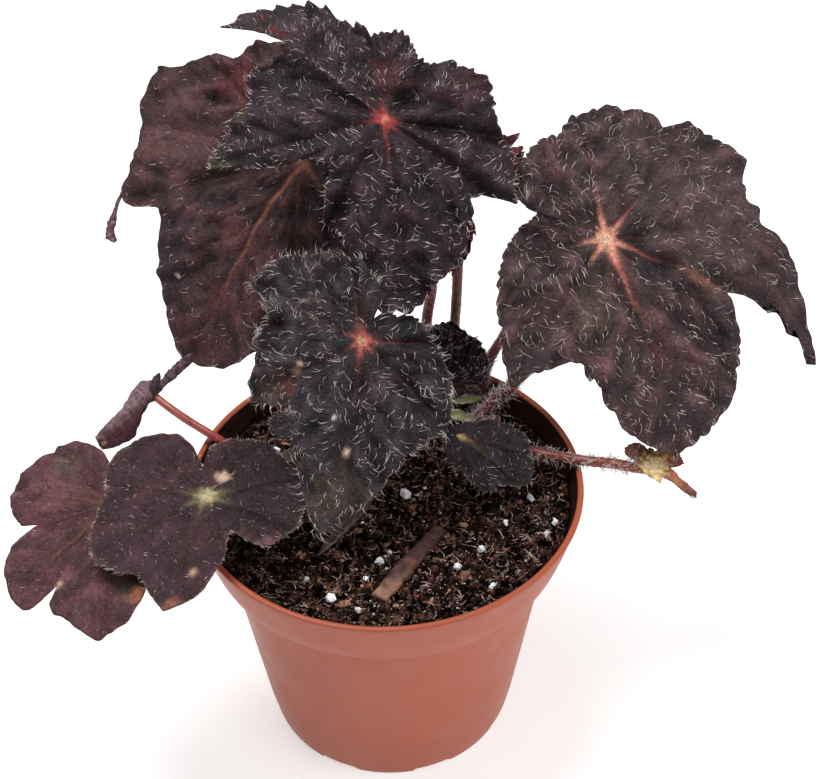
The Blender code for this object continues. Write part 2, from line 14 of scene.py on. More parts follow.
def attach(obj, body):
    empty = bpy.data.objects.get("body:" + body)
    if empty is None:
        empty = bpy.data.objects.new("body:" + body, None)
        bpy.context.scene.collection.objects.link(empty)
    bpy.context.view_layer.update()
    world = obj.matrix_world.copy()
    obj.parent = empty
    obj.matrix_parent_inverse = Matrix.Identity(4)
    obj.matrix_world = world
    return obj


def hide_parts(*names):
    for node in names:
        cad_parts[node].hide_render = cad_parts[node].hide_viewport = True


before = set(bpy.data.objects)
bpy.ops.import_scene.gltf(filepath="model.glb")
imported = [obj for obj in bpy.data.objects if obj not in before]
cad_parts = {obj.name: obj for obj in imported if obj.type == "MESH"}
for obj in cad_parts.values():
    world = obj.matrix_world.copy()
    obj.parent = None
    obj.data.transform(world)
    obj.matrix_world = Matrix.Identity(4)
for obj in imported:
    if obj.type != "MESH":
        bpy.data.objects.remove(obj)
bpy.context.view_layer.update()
MM = 0.001
TAU = 2 * math.pi

# Leaves as in the CAD: hub, lean of the face toward a compass direction, and margin as
# (direction, reach). Then how the living surface differs: tooth is the depth of the fine teeth,
# a fold is (direction, spread, height) of a raised ridge or sunk valley, a bend lets the margin
# drop, a hook turns the tip aside and bites saw into its edge. A dent is (direction, reach,
# length, width, height). glow is the coloured hub, a streak is a vein that shows colour as
# (direction, length, half-width, strength), and a spot is (direction, reach, size, colour,
# strength). hairs and fringe are counts, length and lift are the hairs' own, comb is a lean that
# they share, and a ridge gathers a part of them along a direction. sweep curves one vein, pleats
# are a count and a depth, and puff, droop and wave shape the whole blade.
# Some spots are painted light and some painted shadow, as noted at their rows.
LEAVES = {
    "leaf_top": dict(
        hub=(1.4, 68.7, 178), lean=48, toward=-92,
        margin=[
            (3, 33), (355, 35), (345, 38.5), (335, 43), (329, 45), (325.5, 48), (323.5, 41.5),
            (320.5, 36), (316, 35.5), (311, 39), (305, 42.5), (299, 47.5), (292, 49.5), (284, 52.5),
            (280, 56), (276, 58), (273, 58.5), (268, 59), (263, 56), (257, 48), (252, 39.5), (248, 37),
            (240, 36.5), (235, 34), (232, 29.5), (225, 25), (218, 21), (209, 23.5), (204, 27), (202, 34),
            (200.5, 39.5), (197, 45), (194, 51), (193, 57), (185, 49.5), (176, 45.5), (169, 41.5),
            (162, 44.5), (157, 44.5), (152, 41), (146, 38), (141.5, 36.3), (141, 36.6), (139.8, 39.5),
            (138.8, 44), (137.6, 49.5), (135.6, 58.5), (132.8, 54.8), (131.8, 55.6), (130.9, 51.4),
            (129.8, 52.2), (128.8, 48.6), (127.4, 49.4), (126.2, 45.4), (124.6, 46.4), (122.8, 42.6),
            (120.4, 43.6), (118, 39.8), (115.6, 40.2), (113.6, 33.2), (110, 33.6), (107, 30),
            (103, 30.8), (98, 26.5), (92, 26.5), (86, 27), (77, 27), (69, 25), (62, 21.5), (54, 21),
            (44, 24), (36, 28), (28, 30), (19, 34), (11, 33),
        ],
        veins=[350, 45, 98, 139, 192, 240, 275, 323], puff=2.0, droop=3.0, wave=0.9, waves=19,
        hooks=[(135, 9, 37, 13.8)], bends=[(170, 14, 4), (303, 16, 3)],
        folds=[
            (139, 6, 3.6), (153, 8, -3.4), (118, 6, -1.6), (172, 9, 1.6), (68, 7, 1.8), (350, 6, -2.0),
            (333, 7, 2.0),
        ],
        dents=[
            (30, 9, 5, 5, -1.8), (27, 24, 8, 7, 1.6), (300, 34, 8, 6, -1.4), (239, 31, 5, 4, -1.5),
            (176, 41, 4, 4, -1.4), (215, 18, 8, 5, 1.0), (258, 25, 8, 4, 1.0), (88, 18, 7, 3, -0.8),
        ],
        sides=430, rings=50, tooth=1.5, teeth=81, spacing=8.5, skin=(37, 29, 33), under=(84, 32, 38),
        edge=(78, 56, 54), glow=(158, 62, 58), core=(190, 120, 94), glow_size=3.7, vein=(108, 50, 52),
        line=0.08, rays=0.6,
        streaks=[
            (273, 20, 0.8, 0.8), (98, 9, 0.9, 0.5), (142, 9, 0.9, 0.6), (185, 10, 0.7, 0.5),
            (350, 8, 0.9, 0.6), (318, 10, 0.7, 0.5),
        ],
        spots=[
            (85, 13, 6, (82, 42, 44), 0.55), (20, 27, 6, (66, 38, 42), 0.5),
            (139, 40, 1.7, (80, 26, 32), 0.9), (139, 44, 1.6, (84, 28, 34), 0.9),
            (138, 49, 1.3, (84, 30, 36), 0.8), (112, 32, 10, (52, 38, 42), 0.4),
            (194, 54, 4, (58, 62, 42), 0.6), (176, 44, 2, (70, 68, 44), 0.6),
        ],
        hairs=920, length=3.2, lift=0.5, fringe=340, comb=(0, 0.45, 0.5),
        ridges=[(141, 1.6, 0.05), (122, 2.4, 0.05), (68, 4, 0.03)],
    ),
    "leaf_right": dict(
        hub=(68, 47, 148), lean=36, toward=-72,
        margin=[
            (92, 44.5), (84, 46), (74, 46), (65, 45.5), (58, 51.4), (50, 52.6), (43, 55), (35, 57),
            (30, 53.5), (23, 50), (15, 54), (9.4, 56.4), (7, 59.6), (5, 61), (2.5, 62.8), (0, 64.2),
            (357, 65), (354, 68.4), (351, 69.5), (348.5, 74.5), (347, 77.5), (346.8, 71.5), (346.6, 67),
            (346.4, 62), (345.8, 57.5), (345.3, 52), (345.1, 48), (343.8, 43.5), (342, 41.5),
            (340.5, 43), (338, 45.8), (334, 48.4), (329.7, 50.8), (326, 53.2), (318, 58), (311, 62.4),
            (304, 65), (296, 67.2), (290, 68.2), (284, 64.2), (276.5, 58.5), (274, 54), (271, 50),
            (270, 46.5), (268, 44.5), (263, 44), (261, 40.8), (256, 40.3), (253, 41.8), (249, 45.3),
            (243.5, 50.2), (241, 55), (236, 52.2), (229, 46.5), (221, 42.5), (212, 39), (205, 35.9),
            (197, 33.3), (187, 29.8), (182, 27.8), (174, 24.8), (168, 22), (164.8, 20.2), (163.4, 19.4),
            (161.8, 29), (156, 32.5), (149, 34), (138, 35.5), (126, 36.5), (113, 37), (105, 41.3),
            (98, 43),
        ],
        veins=[100, 55, 12, 346, 297, 241, 196, 146], puff=2.0, droop=3.0, wave=0.9, waves=21,
        hooks=[(346, 20, 56, -11)], bites=[(345.6, 2.6, 47.6, 3.7, 8.9)], folds=[(330, 9, -1.2)],
        dents=[
            (165, 22, 6, 5, -1.6), (190, 22, 8, 4, -1.6), (222, 32, 6, 4, -1.3), (205, 27, 7, 4, 1.0),
            (17, 14, 8, 4, -1.8), (332, 18, 8, 4, -1.8), (322, 42, 7, 5, -1.8), (308, 42, 9, 4, 1.3),
            (2, 34, 12, 4, 1.2), (28, 30, 9, 5, 1.2), (352, 40, 9, 3, -1.0), (255, 30, 7, 4, 1.0),
            (120, 26, 8, 5, 1.0),
        ],
        sides=440, rings=52, tooth=1.2, teeth=77, spacing=9.0, skin=(54, 42, 44), under=(84, 38, 42),
        edge=(70, 52, 52), glow=(208, 142, 120), core=(186, 158, 130), glow_size=6.4, vein=(154, 88, 76),
        line=0.06,
        streaks=[
            (100, 26, 0.8, 0.8), (55, 20, 0.7, 0.7), (346, 24, 0.8, 0.6), (297, 28, 0.9, 0.9),
            (297, 46, 1.6, 0.25), (241, 11, 0.7, 0.6), (196, 5, 0.7, 0.4),
        ],
        spots=[
            (345, 26, 2.2, (88, 60, 52), 0.5), (343.8, 30, 2.4, (116, 80, 64), 0.6),
            (342.6, 34, 2.3, (128, 88, 70), 0.6), (341.6, 38, 2.0, (116, 80, 66), 0.6),
            (262, 20, 6, (86, 72, 56), 0.4), (262, 27, 5, (86, 72, 56), 0.4),
            (297, 38, 6, (72, 40, 44), 0.6), (236, 30, 7, (66, 44, 46), 0.5),
            # Painted light: the two large pale patches at direction 20 lighten the right part of the blade,
            # which faces the light.
            (20, 34, 18, (82, 65, 65), 0.6), (20, 52, 14, (80, 62, 64), 0.55),
            (75, 34, 10, (74, 60, 60), 0.4),
        ],
        hairs=1000, length=4.1, lift=0.35, fringe=120, comb=(0.5, 0, 0),
    ),
    "leaf_front": dict(
        hub=(-5.9, 9.3, 140), lean=42, toward=-95,
        margin=[
            (150, 38), (143, 36.5), (134, 35), (126, 33), (117, 29.5), (106, 27), (98, 26), (88, 23.5),
            (80, 20), (70, 17), (63, 13.5), (60, 7.5), (51, 9.5), (43, 11), (35, 12.5), (24, 16),
            (13, 18.5), (1, 20), (353, 22), (344, 24.5), (336, 27), (327, 30), (318, 33.5), (310, 36),
            (299, 34.5), (290, 35.5), (281, 39), (274, 44), (268, 48), (262, 50.5), (256, 58), (252, 55),
            (247, 48), (242, 42), (236, 39.5), (232, 35), (228, 27.5), (220, 28.5), (213, 32), (206, 37),
            (199, 35), (190, 32.5), (176, 30), (161, 28.5), (155, 31.5),
        ],
        veins=[149, 97, 40, 356, 312, 260, 205], puff=2.0, droop=2.0, wave=0.8, waves=17,
        dents=[
            (128, 15, 8, 3.5, -2.2), (150, 20, 8, 5, 1.3), (22, 12, 8, 3.5, -1.3), (38, 11, 5, 2, 1.2),
            (331, 16, 6, 4, -1.6), (170, 25, 5, 4, -1.5), (290, 20, 9, 5, 1.0), (230, 26, 7, 5, 1.0),
            (275, 38, 7, 4, -1.0),
        ],
        sides=370, rings=44, tooth=0.8, teeth=61, spacing=7.5, skin=(36, 33, 36), under=(70, 34, 38),
        edge=(84, 74, 70), glow=(176, 88, 76), core=(160, 140, 110), glow_size=3.8, vein=(92, 46, 44),
        line=0.1, rays=0.5,
        streaks=[
            (97, 18, 1.8, 0.4), (149, 6, 0.6, 0.4), (260, 14, 0.6, 0.7), (260, 28, 1.2, 0.25),
            (312, 5, 0.6, 0.4), (205, 6, 0.5, 0.4), (356, 20, 1.3, 0.3),
        ],
        spots=[
            (198, 19.2, 0.9, (182, 148, 126), 1.0), (202, 20.8, 1.3, (134, 100, 78), 0.8),
            (209, 25.5, 3.2, (84, 46, 42), 0.7), (206, 30, 5, (74, 52, 46), 0.6),
            (260, 32.5, 1.2, (210, 172, 152), 1.0), (248, 23.7, 0.7, (200, 190, 190), 1.0),
            (256, 46, 8, (72, 62, 50), 0.6), (150, 18, 8, (60, 48, 48), 0.5),
        ],
        hairs=560, length=3.6, lift=0.5, fringe=260,
    ),
    "leaf_back_left": dict(
        hub=(-24.9, 85.9, 152), lean=45, toward=-115,
        margin=[
            (103, 44.8), (108, 45.6), (117, 45.6), (121, 51.3), (126, 55.2), (132, 57.8), (135, 62),
            (136.8, 67.8), (139, 67), (145, 65), (149.5, 65.8), (157, 63), (163, 61.4), (169, 63.5),
            (174, 67.2), (176.2, 68.2), (177.4, 67.6), (178.4, 66), (179.4, 64.4), (180.6, 63.2),
            (181.6, 59.5), (182.6, 56), (183.8, 53.2), (187, 53.2), (191, 54.8), (195, 56.8), (200, 59),
            (207, 62.4), (214, 66.8), (221, 71.6), (226, 75.4), (233, 73.2), (238, 70.8), (243, 66),
            (248, 61), (260, 54.5), (272, 48.5), (286, 48.5), (300, 46), (315, 41), (327, 36), (335, 14),
            (343, 27), (355, 29), (10, 30), (25, 31), (40, 32), (55, 35), (70, 38), (85, 41),
        ],
        veins=[125, 154, 178, 230, 262, 296, 15, 70], puff=2.2, droop=2.0, wave=0.9, waves=18,
        sweep=(230, 45, -20, 30),
        dents=[
            (216, 40, 14, 6, -1.6), (240, 40, 14, 6, 1.2), (165, 40, 9, 5, 1.2), (196, 44, 9, 5, 1.0),
            (180, 30, 9, 6, -1.0),
        ],
        sides=390, rings=52, tooth=0.9, teeth=47, spacing=9.0, skin=(52, 35, 38), under=(84, 38, 40),
        edge=(64, 46, 46), glow=(130, 84, 66), core=(130, 84, 66), glow_size=3.0, vein=(132, 84, 68),
        line=0.15, wander=0.008,
        streaks=[
            (230, 50, 0.9, 0.9), (230, 78, 0.5, 0.7), (178, 60, 0.7, 0.1), (154, 60, 0.7, 0.1),
            (296, 34, 0.8, 0.7),
        ],
        spots=[
            # Painted light: the large pale patch at direction 157 lightens the upper part of the blade,
            # which faces the light from above.
            (157, 50, 16, (88, 62, 62), 0.8), (214, 33, 8, (92, 56, 58), 0.7),
            (120, 38, 7, (92, 42, 44), 0.7), (206, 57, 8, (40, 32, 36), 0.7),
            (226, 52, 6, (84, 46, 48), 0.6), (195, 48, 8, (42, 33, 37), 0.6),
            (182, 30, 8, (46, 38, 38), 0.5), (233, 68, 8, (72, 42, 46), 0.6),
            (209, 56, 0.7, (190, 170, 160), 1.0),
        ],
        hairs=430, length=3.0, lift=0.4, fringe=110,
    ),
    "leaf_front_left": dict(
        hub=(-51.7, -19, 106), lean=8, toward=-100,
        margin=[
            (91, 17.5), (80, 20.5), (71, 23), (58, 25), (45, 25.5), (32, 25.5), (20, 27), (9, 28),
            (353, 28.5), (337, 29), (325, 27.5), (317, 27), (310, 22.5), (302, 14.5), (292, 18.5),
            (285, 23), (279, 27), (272, 32), (263, 37), (256, 39.5), (248, 36), (242, 33.5), (236, 31.5),
            (228, 34.5), (217, 37), (208, 36.5), (199, 34.5), (185, 31), (173, 29.5), (159, 33),
            (148, 33.8), (136, 32.8), (124, 30.3), (113, 26.3), (106, 20.5), (101, 9.5),
        ],
        veins=[62, 15, 338, 284, 254, 210, 165, 128], puff=1.2, droop=2.4, wave=0.5, waves=9,
        folds=[(210, 14, 0.8)], sides=360, rings=34, tooth=0.35, teeth=61, relief=0.45, spacing=9.0,
        depth=0.5, skin=(54, 35, 40), under=(104, 76, 78), edge=(110, 92, 80), glow=(134, 128, 88),
        core=(176, 158, 128), glow_size=6.2, vein=(104, 98, 70), line=0.05, rays=0.22,
        streaks=[
            (210, 9, 1.2, 0.35), (165, 7, 1.2, 0.3), (254, 8, 1.2, 0.3), (15, 8, 1.2, 0.3),
            (338, 8, 1.2, 0.3),
        ],
        spots=[
            # Painted shadow: the two large near-black patches at directions 20 and 335 are the shadow of
            # the front leaf above.
            (20, 18, 17, (32, 20, 24), 0.8), (335, 18, 9, (32, 20, 24), 0.75),
            (303, 20, 1.8, (116, 84, 86), 0.7), (310, 23.5, 1.8, (116, 84, 86), 0.7),
            (317, 25, 1.8, (108, 78, 80), 0.7), (58, 8.2, 2.3, (196, 164, 140), 1.0),
            (266, 27, 1.4, (176, 136, 116), 0.9), (259, 37.5, 2.6, (132, 82, 62), 0.8),
            (140, 24, 5, (54, 34, 40), 0.5), (300, 19, 4, (92, 60, 56), 0.5),
        ],
        hairs=330, length=1.7, lift=0.35, fringe=420,
    ),
    "leaf_far_left": dict(
        hub=(-80.6, -13.9, 98), lean=10, toward=-140,
        margin=[
            (132, 31.6), (127, 34.4), (119, 31.9), (109, 27), (102, 20), (92, 8.5), (80, 16), (62, 21),
            (42, 24), (20, 25), (0, 27), (340, 28), (322, 28), (306, 30.8), (292, 34.4), (286, 39),
            (280, 42.4), (275, 44.8), (269, 45.5), (262, 43), (256, 40), (250, 39.5), (246, 37),
            (244, 30.5), (241, 35.5), (238, 39.2), (234, 40.8), (226, 39.8), (216, 37.2), (208, 34),
            (202, 32), (196, 29), (190, 22.4), (186, 28), (178, 31), (168, 33.2), (160, 34.9),
            (151, 35.4), (141, 34.4),
        ],
        veins=[125, 160, 185, 226, 270, 310, 350, 40], puff=1.3, droop=2.4, wave=0.6, waves=9, sides=360,
        rings=34, tooth=0.4, teeth=53, relief=0.5, spacing=8.0, depth=0.55, skin=(76, 49, 53),
        under=(96, 52, 52), edge=(80, 54, 54), glow=(130, 80, 60), core=(130, 80, 60), glow_size=3.0,
        vein=(112, 76, 60), line=0.08,
        streaks=[
            (226, 34, 0.7, 0.7), (160, 30, 0.7, 0.6), (185, 20, 0.6, 0.3), (270, 30, 0.7, 0.3),
            (140, 28, 0.6, 0.4),
        ],
        spots=[
            (158, 20, 8, (116, 74, 78), 0.6), (288, 35, 3.2, (150, 94, 64), 0.9),
            (284, 30, 4, (62, 56, 44), 0.8), (134, 24.5, 4.5, (74, 68, 58), 0.7),
            (245, 30.5, 1.3, (176, 148, 126), 0.9), (190, 23, 1.5, (120, 56, 60), 0.6),
        ],
        hairs=280, length=1.3, lift=0.35, fringe=60,
    ),
    "leaf_rolled": dict(
        hub=(-73.4, 29.8, 104.6), lean=49, toward=145,
    ),
    "leaf_small": dict(
        hub=(22.7, 8.6, 103), lean=22, toward=-60,
        margin=[
            (178, 4), (110, 4), (84, 4), (60, 6), (45, 8), (33, 13), (19, 17.5), (5, 21), (352, 22.5),
            (340, 24), (328, 26), (319, 22), (310, 19.5), (298, 20), (287, 16.5), (277, 13), (255, 11),
            (238, 8), (205, 6),
        ],
        veins=[30, 355, 326, 295, 160], puff=0.9, droop=3, wave=0.3, waves=11, sides=260, rings=22,
        tooth=0.4, teeth=41, skin=(29, 26, 30), under=(84, 44, 48), edge=(82, 66, 58),
        glow=(158, 132, 86), core=(168, 138, 104), glow_size=1.6, vein=(104, 82, 62),
        streaks=[(335, 6.5, 1.1, 0.9), (329, 20, 0.9, 0.3)], hairs=110, length=2.0, lift=0.35, fringe=90,
    ),
    "leaf_torn": dict(
        hub=(81.5, 0.3, 97), lean=15, toward=-90,
        margin=[
            (140, 11), (151, 10.2), (163, 6), (176, 6), (190, 4.4), (212, 4), (240, 4.2), (264, 4.6),
            (281, 6.2), (293, 4.4), (304, 5.3), (310, 7.5), (313, 9.4), (313.6, 12.6), (313, 15.6),
            (315, 16.2), (319, 15.4), (321.5, 15.2), (323.5, 12), (325.5, 11.6), (327, 9), (329, 7.6),
            (336, 7.2), (343, 5.2), (352, 4.6), (358, 7), (6, 8.8), (25, 9), (45, 8), (58, 5.6),
            (72, 6.6), (85, 5.2), (97, 6.8), (106, 6.4), (114, 9), (130, 10.6),
        ],
        veins=[15, 140, 200, 250, 314], puff=0.4, droop=0, wave=0.0, waves=3, sides=320, rings=24,
        tooth=0.6, teeth=29, relief=0.6, skin=(122, 82, 64), under=(120, 74, 56), edge=(104, 60, 48),
        glow=(222, 196, 136), core=(228, 206, 162), glow_size=8.0, vein=(188, 156, 106),
        streaks=[(270, 6, 1.6, 0.6), (200, 5, 1.4, 0.6)],
        spots=[
            (138, 8.8, 2.8, (146, 100, 92), 0.9), (105, 7, 1.8, (150, 104, 84), 0.8),
            (20, 7.8, 2.4, (134, 90, 76), 0.9), (318, 12, 2.6, (122, 76, 54), 0.9),
            (318, 15.5, 1.8, (74, 54, 44), 0.9), (316, 8.6, 1.4, (150, 96, 66), 0.7),
        ],
        hairs=8, length=1.4, lift=0.5, fringe=24,
    ),
    "leaf_young": dict(
        hub=(23, 35.8, 98.4), lean=62, toward=-90,
        margin=[
            (113, 22), (103, 22.5), (95, 22), (87, 20), (78, 18), (69, 17.5), (57, 15.5), (38, 12.5),
            (24, 9), (8, 5), (335, 2.6), (270, 2.2), (205, 2.6), (165, 6), (145, 12), (128, 18),
        ],
        veins=[20, 45, 62, 78, 94, 110, 130], puff=1.2, droop=-6, wave=0.0, waves=3, pleats=(41, 0.6),
        sides=280, rings=24, tooth=0.6, teeth=41, skin=(36, 27, 30), under=(70, 34, 38),
        edge=(90, 66, 60), glow=(70, 40, 40), core=(70, 40, 40), glow_size=2.0, vein=(80, 52, 54),
        hairs=420, length=2.2, lift=0.45, fringe=60,
    ),
    "leaf_back_centre": dict(
        hub=(24.6, 68, 150), lean=45, toward=-80,
        margin=[
            (278, 18), (274, 21), (270, 23.4), (266, 24.6), (261, 23), (255, 22), (245, 23), (237, 17),
            (222, 13), (200, 10), (170, 9), (140, 11), (110, 17), (85, 21), (66, 22), (60, 24.5),
            (54.4, 25), (51.6, 27.6), (49.8, 30), (48.8, 29.6), (49.4, 25), (48.6, 22), (47, 25),
            (38, 25), (31, 22), (20, 12), (10, 5), (0, 2), (345, 1.5), (325, 1.5), (300, 2.4),
            (298, 9.5), (295, 12.4), (290, 12.8), (286, 14.2), (282, 16.6),
        ],
        veins=[250, 200, 140, 90, 50, 5], puff=1.2, droop=4, wave=0.8, waves=13, sides=280, rings=24,
        tooth=1.8, teeth=61, skin=(58, 26, 34), under=(104, 36, 40), edge=(120, 44, 54),
        glow=(120, 60, 50), core=(120, 60, 50), glow_size=2.4, vein=(120, 60, 52), hairs=220, length=2.0,
        lift=0.5, fringe=90,
    ),
    "leaf_back_right": dict(
        hub=(56, 60, 130), lean=40, toward=-75,
        margin=[
            (280, 19), (255, 16), (235, 14), (205, 15), (180, 13), (150, 15), (120, 17), (95, 20),
            (70, 18), (45, 22), (20, 19), (0, 21), (335, 18), (312, 20), (296, 10),
        ],
        veins=[280, 205, 95, 45, 0, 315], puff=1.0, droop=4, wave=0.5, waves=9, sides=240, rings=14,
        tooth=0.6, teeth=37, skin=(62, 44, 48), under=(92, 36, 40), edge=(92, 60, 60),
        glow=(206, 100, 84), core=(206, 140, 96), glow_size=2.6, vein=(140, 64, 60),
        streaks=[(280, 9, 0.5, 0.5), (205, 7, 0.5, 0.5), (45, 9, 0.5, 0.5), (0, 8, 0.5, 0.5)], hairs=160,
        length=2.0, lift=0.5, fringe=60,
    ),
    "leaf_bud": dict(
        hub=(-30.6, 28.6, 88.4), lean=30, toward=-95,
        margin=[
            (200, 5), (170, 6.5), (140, 7.5), (110, 6.5), (80, 6), (50, 7.5), (20, 6.5), (345, 5),
            (315, 3.5), (270, 2.5), (230, 3.5),
        ],
        veins=[50, 95, 140, 0, 200, 270], puff=0.3, droop=0, wave=0.0, waves=3, sides=160, rings=9,
        tooth=0.4, teeth=29, skin=(38, 34, 36), under=(70, 44, 46), edge=(70, 62, 58), glow=(80, 60, 56),
        core=(80, 60, 56), glow_size=1.0, vein=(80, 60, 56), hairs=50, length=1.8, lift=0.6, fringe=36,
    ),
}
# What a leaf has where its own row says nothing: relief and spacing of the cells between its side
# veins, depth of the painted shade in hollows and painted light on ridges, strength of its fine
# veins and of the hub's rays, how far the coloured veins wander, and none of the special shapes.
USUAL_LEAF = dict(
    relief=1.0, spacing=6.5, depth=1.05, line=0.12, rays=0.85, wander=0.035, comb=(0, 0, 0),
    sweep=(0, 1, 0, 1), pleats=(1, 0), bites=[], hooks=[], bends=[], folds=[], dents=[],
    ridges=[], streaks=[], spots=[],
)
for own in LEAVES.values():
    for key, value in USUAL_LEAF.items():
        own.setdefault(key, value)
# A blade's thickness in the CAD, the reach over which its relief rises, and a hair's width
BLADE, CALM_REACH, HAIR_WIDTH = 0.8, (1.2, 10.0), 0.17

# Stalks as in the CAD, each under the leaf of its name: half-thickness, foot on the soil, and the
# places on its way. low and high are its colours. Then its hairs: count, length, how they gather
# low on it, how many steps below the hub stay bare, how thick they are and how far they lie along.
STALKS = {
    "stalk_top": dict(
        half=1.9, foot=(14, 46), way=[(13.4, 49, 114.4), (15.0, 52, 132), (10, 62.5, 157)],
        low=(124, 58, 60), high=(112, 44, 48), hairs=620, length=1.5,
    ),
    "stalk_right": dict(
        half=2.1, foot=(29, 30), way=[(35, 30, 99), (40.8, 29, 107.5), (52, 36, 124)], low=(96, 36, 44),
        high=(104, 46, 50), hairs=1500, length=5.0, low_hairs=1.4, thick=0.2, swept=(1.2, 6),
    ),
    "stalk_front": dict(
        half=1.6, foot=(11, 21), way=[(7, 21, 110), (0, 17.5, 126)], low=(120, 60, 58),
        high=(110, 44, 48), hairs=160, length=2.2,
    ),
    "stalk_back_left": dict(
        half=1.4, foot=(4, 36), way=[(2, 55, 112), (-10, 73, 131)], low=(118, 56, 56), high=(112, 48, 50),
        hairs=160, length=2.2,
    ),
    "stalk_front_left": dict(
        half=1.4, foot=(-36, 5), way=[(-42, -6, 96)], low=(150, 70, 60), high=(140, 70, 60), hairs=40,
        length=1.5,
    ),
    "stalk_far_left": dict(
        half=1.2, foot=(-41, 4), way=[(-48, -1, 94.9), (-58, -5.5, 95.6), (-70, -10, 94.4)],
        low=(150, 70, 60), high=(130, 70, 56), hairs=40, length=1.5,
    ),
    "stalk_rolled": dict(
        half=1.45, foot=(-43, 14), way=[(-52, 16.5, 96.2), (-60.8, 21, 99.5), (-67.2, 24.8, 102.0)],
        approach=1.8, low=(136, 44, 50), high=(146, 70, 54), hairs=40, length=1.2,
    ),
    "stalk_small": dict(
        half=1.1, foot=(19.5, 21), way=[], low=(120, 70, 60), high=(120, 80, 60), hairs=50, length=2.0,
    ),
    "stalk_torn": dict(
        half=1.75, foot=(28, 22),
        way=[(44.9, 11.2, 93.6), (60.1, 4.2, 96.1), (70, 2.2, 96.2), (76, 1.2, 95.3)], approach=2.4,
        low=(112, 50, 48), high=(132, 76, 58), hairs=1100, length=4.6, low_hairs=2.3, bare=18, thick=0.2,
        swept=(0, 1.8),
    ),
    "stalk_young": dict(
        half=1.1, foot=(23, 44), way=[], low=(110, 50, 50), high=(100, 44, 46), hairs=50, length=2.0,
    ),
    "stalk_back_centre": dict(
        half=1.8, foot=(20, 48.5), way=[(22.4, 55.5, 108), (23.6, 60.5, 130)], low=(134, 84, 76),
        high=(120, 68, 62), hairs=660, length=1.5,
    ),
    "stalk_back_right": dict(
        half=1.8, foot=(30, 42), way=[(31.2, 42.8, 96), (33.2, 43.6, 103.6), (40.2, 48.5, 113.5)],
        low=(104, 40, 50), high=(104, 44, 52), hairs=760, length=4.2, thick=0.2, swept=(1, 4),
    ),
}
USUAL_STALK = dict(approach=5.0, low_hairs=1.0, bare=7, thick=0.15, swept=(-0.2, 1.6))
for own in STALKS.values():
    for key, value in USUAL_STALK.items():
        own.setdefault(key, value)
# Heights of a stalk's root end and of the soil, the share of its first turn, and a stalk's sides
STALK_FOOT, SOIL_LEVEL, TURN, STALK_SIDES = 81.0, 85.5, 0.12, 16

# Perlite grains: x, y, half-size
GRAINS = [
    (6, 1, 2.1), (-2, -27, 1.5), (-6, -34, 1.2), (-23, -34, 1.2), (-16, -43, 1.5), (-8, -46, 1.1),
    (28, -23, 1.2), (21, -29, 1.4), (31, -37, 1.2), (44, -2, 1.6), (51, -12, 1.2), (48, -17, 1.3),
    (36, -11, 1.3), (-13, -26, 1.1), (-35, 22, 1.6), (1, -24, 1.0),
]
# How many small grains, crumbs and fibres, a fibre's width, and the grid of the soil's top
SMALL_GRAINS, CRUMBS, FIBRES, FIBRE_WIDTH = 90, 4400, 6200, 0.28
SOIL_EDGE, SOIL_SIDES, SOIL_RINGS = 55.9, 290, 100

# The pot's section from the middle of its floor, up the inside, over the rim and down to the base
POT_PROFILE = [
    (0, 3), (20, 3), (36, 3), (38.2, 3.6), (38.9, 5), (50.0, 73.5), (50.4, 74.6), (51.6, 75.5), (53.4, 76),
    (53.9, 77), (56, 84), (57.6, 90), (58.1, 92), (58.2, 92.6), (58.5, 92.9), (58.9, 93), (59.3, 93),
    (59.7, 92.9), (59.95, 92.6), (60, 92.3), (60, 91.9), (59.95, 91.6), (59.7, 91.4), (59.55, 91.2),
    (59.5, 90.9), (59.2, 89.6), (57.2, 82), (55.4, 76.2), (54.95, 75.1), (54.75, 74.8), (54.3, 74.65),
    (52.0, 74.4), (51.55, 74.2), (51.4, 73.8), (51.3, 73.2), (48, 56), (44.5, 32), (41.2, 10), (39.7, 2.2),
    (39.4, 1.0), (39.2, 0.4), (38.8, 0), (36, 0), (34.6, 0), (34.2, 0.5), (33.8, 0.5), (33.4, 0),
    (20, 0), (0, 0),
]
# The pot's sides, its foot notches in degrees with their lift, and its drain holes
POT_SIDES, NOTCH_STEP, NOTCH_START, NOTCH_LIFT = 320, 45, 19.5, 1.5
DRAIN_PLACES, DRAIN_REACH, DRAIN_RADIUS, DRAIN_SPAN = (45, 135, 225, 315), 22, 3.5, (-2.0, 3.3)


def tint(red, green, blue):
    """Screen values as linear light: value / 255 to the power 2.2."""
    return (np.array([red, green, blue]) / 255) ** 2.2


def blend(paint, colour, share):
    """Paint moved toward a colour by a share for each point: paint (1 - share) + colour share."""
    share = np.asarray(share)[..., None]
    return paint * (1 - share) + tint(*colour) * share


def smooth(value, low, high):
    """0 below low, 1 above high, and between them the smooth step 3t^2 - 2t^3."""
    t = np.clip((value - low) / (high - low), 0, 1)
    return t * t * (3 - 2 * t)


def swell(points, size, seed, count=18):
    """Smooth noise of about that wavelength, mostly within -1 to 1.

    It is a sum of plane waves in random directions: sin(wave . point + phase) / sqrt(2 count).
    """
    random = np.random.default_rng(seed)
    waves = random.normal(size=(count, points.shape[-1]))
    spans = np.linalg.norm(waves, axis=1, keepdims=True)
    waves *= TAU / size * random.uniform(0.7, 1.5, (count, 1)) / spans
    return np.sin(points @ waves.T + random.uniform(0, TAU, count)).sum(-1) / math.sqrt(2 * count)


def unit(vectors):
    """Vectors divided by their own lengths."""
    return vectors / np.maximum(np.linalg.norm(vectors, axis=-1, keepdims=True), 1e-9)


def rays(turn):
    """Unit vectors in the plane at angles: (cos turn, sin turn)."""
    return np.stack([np.cos(turn), np.sin(turn)], -1)


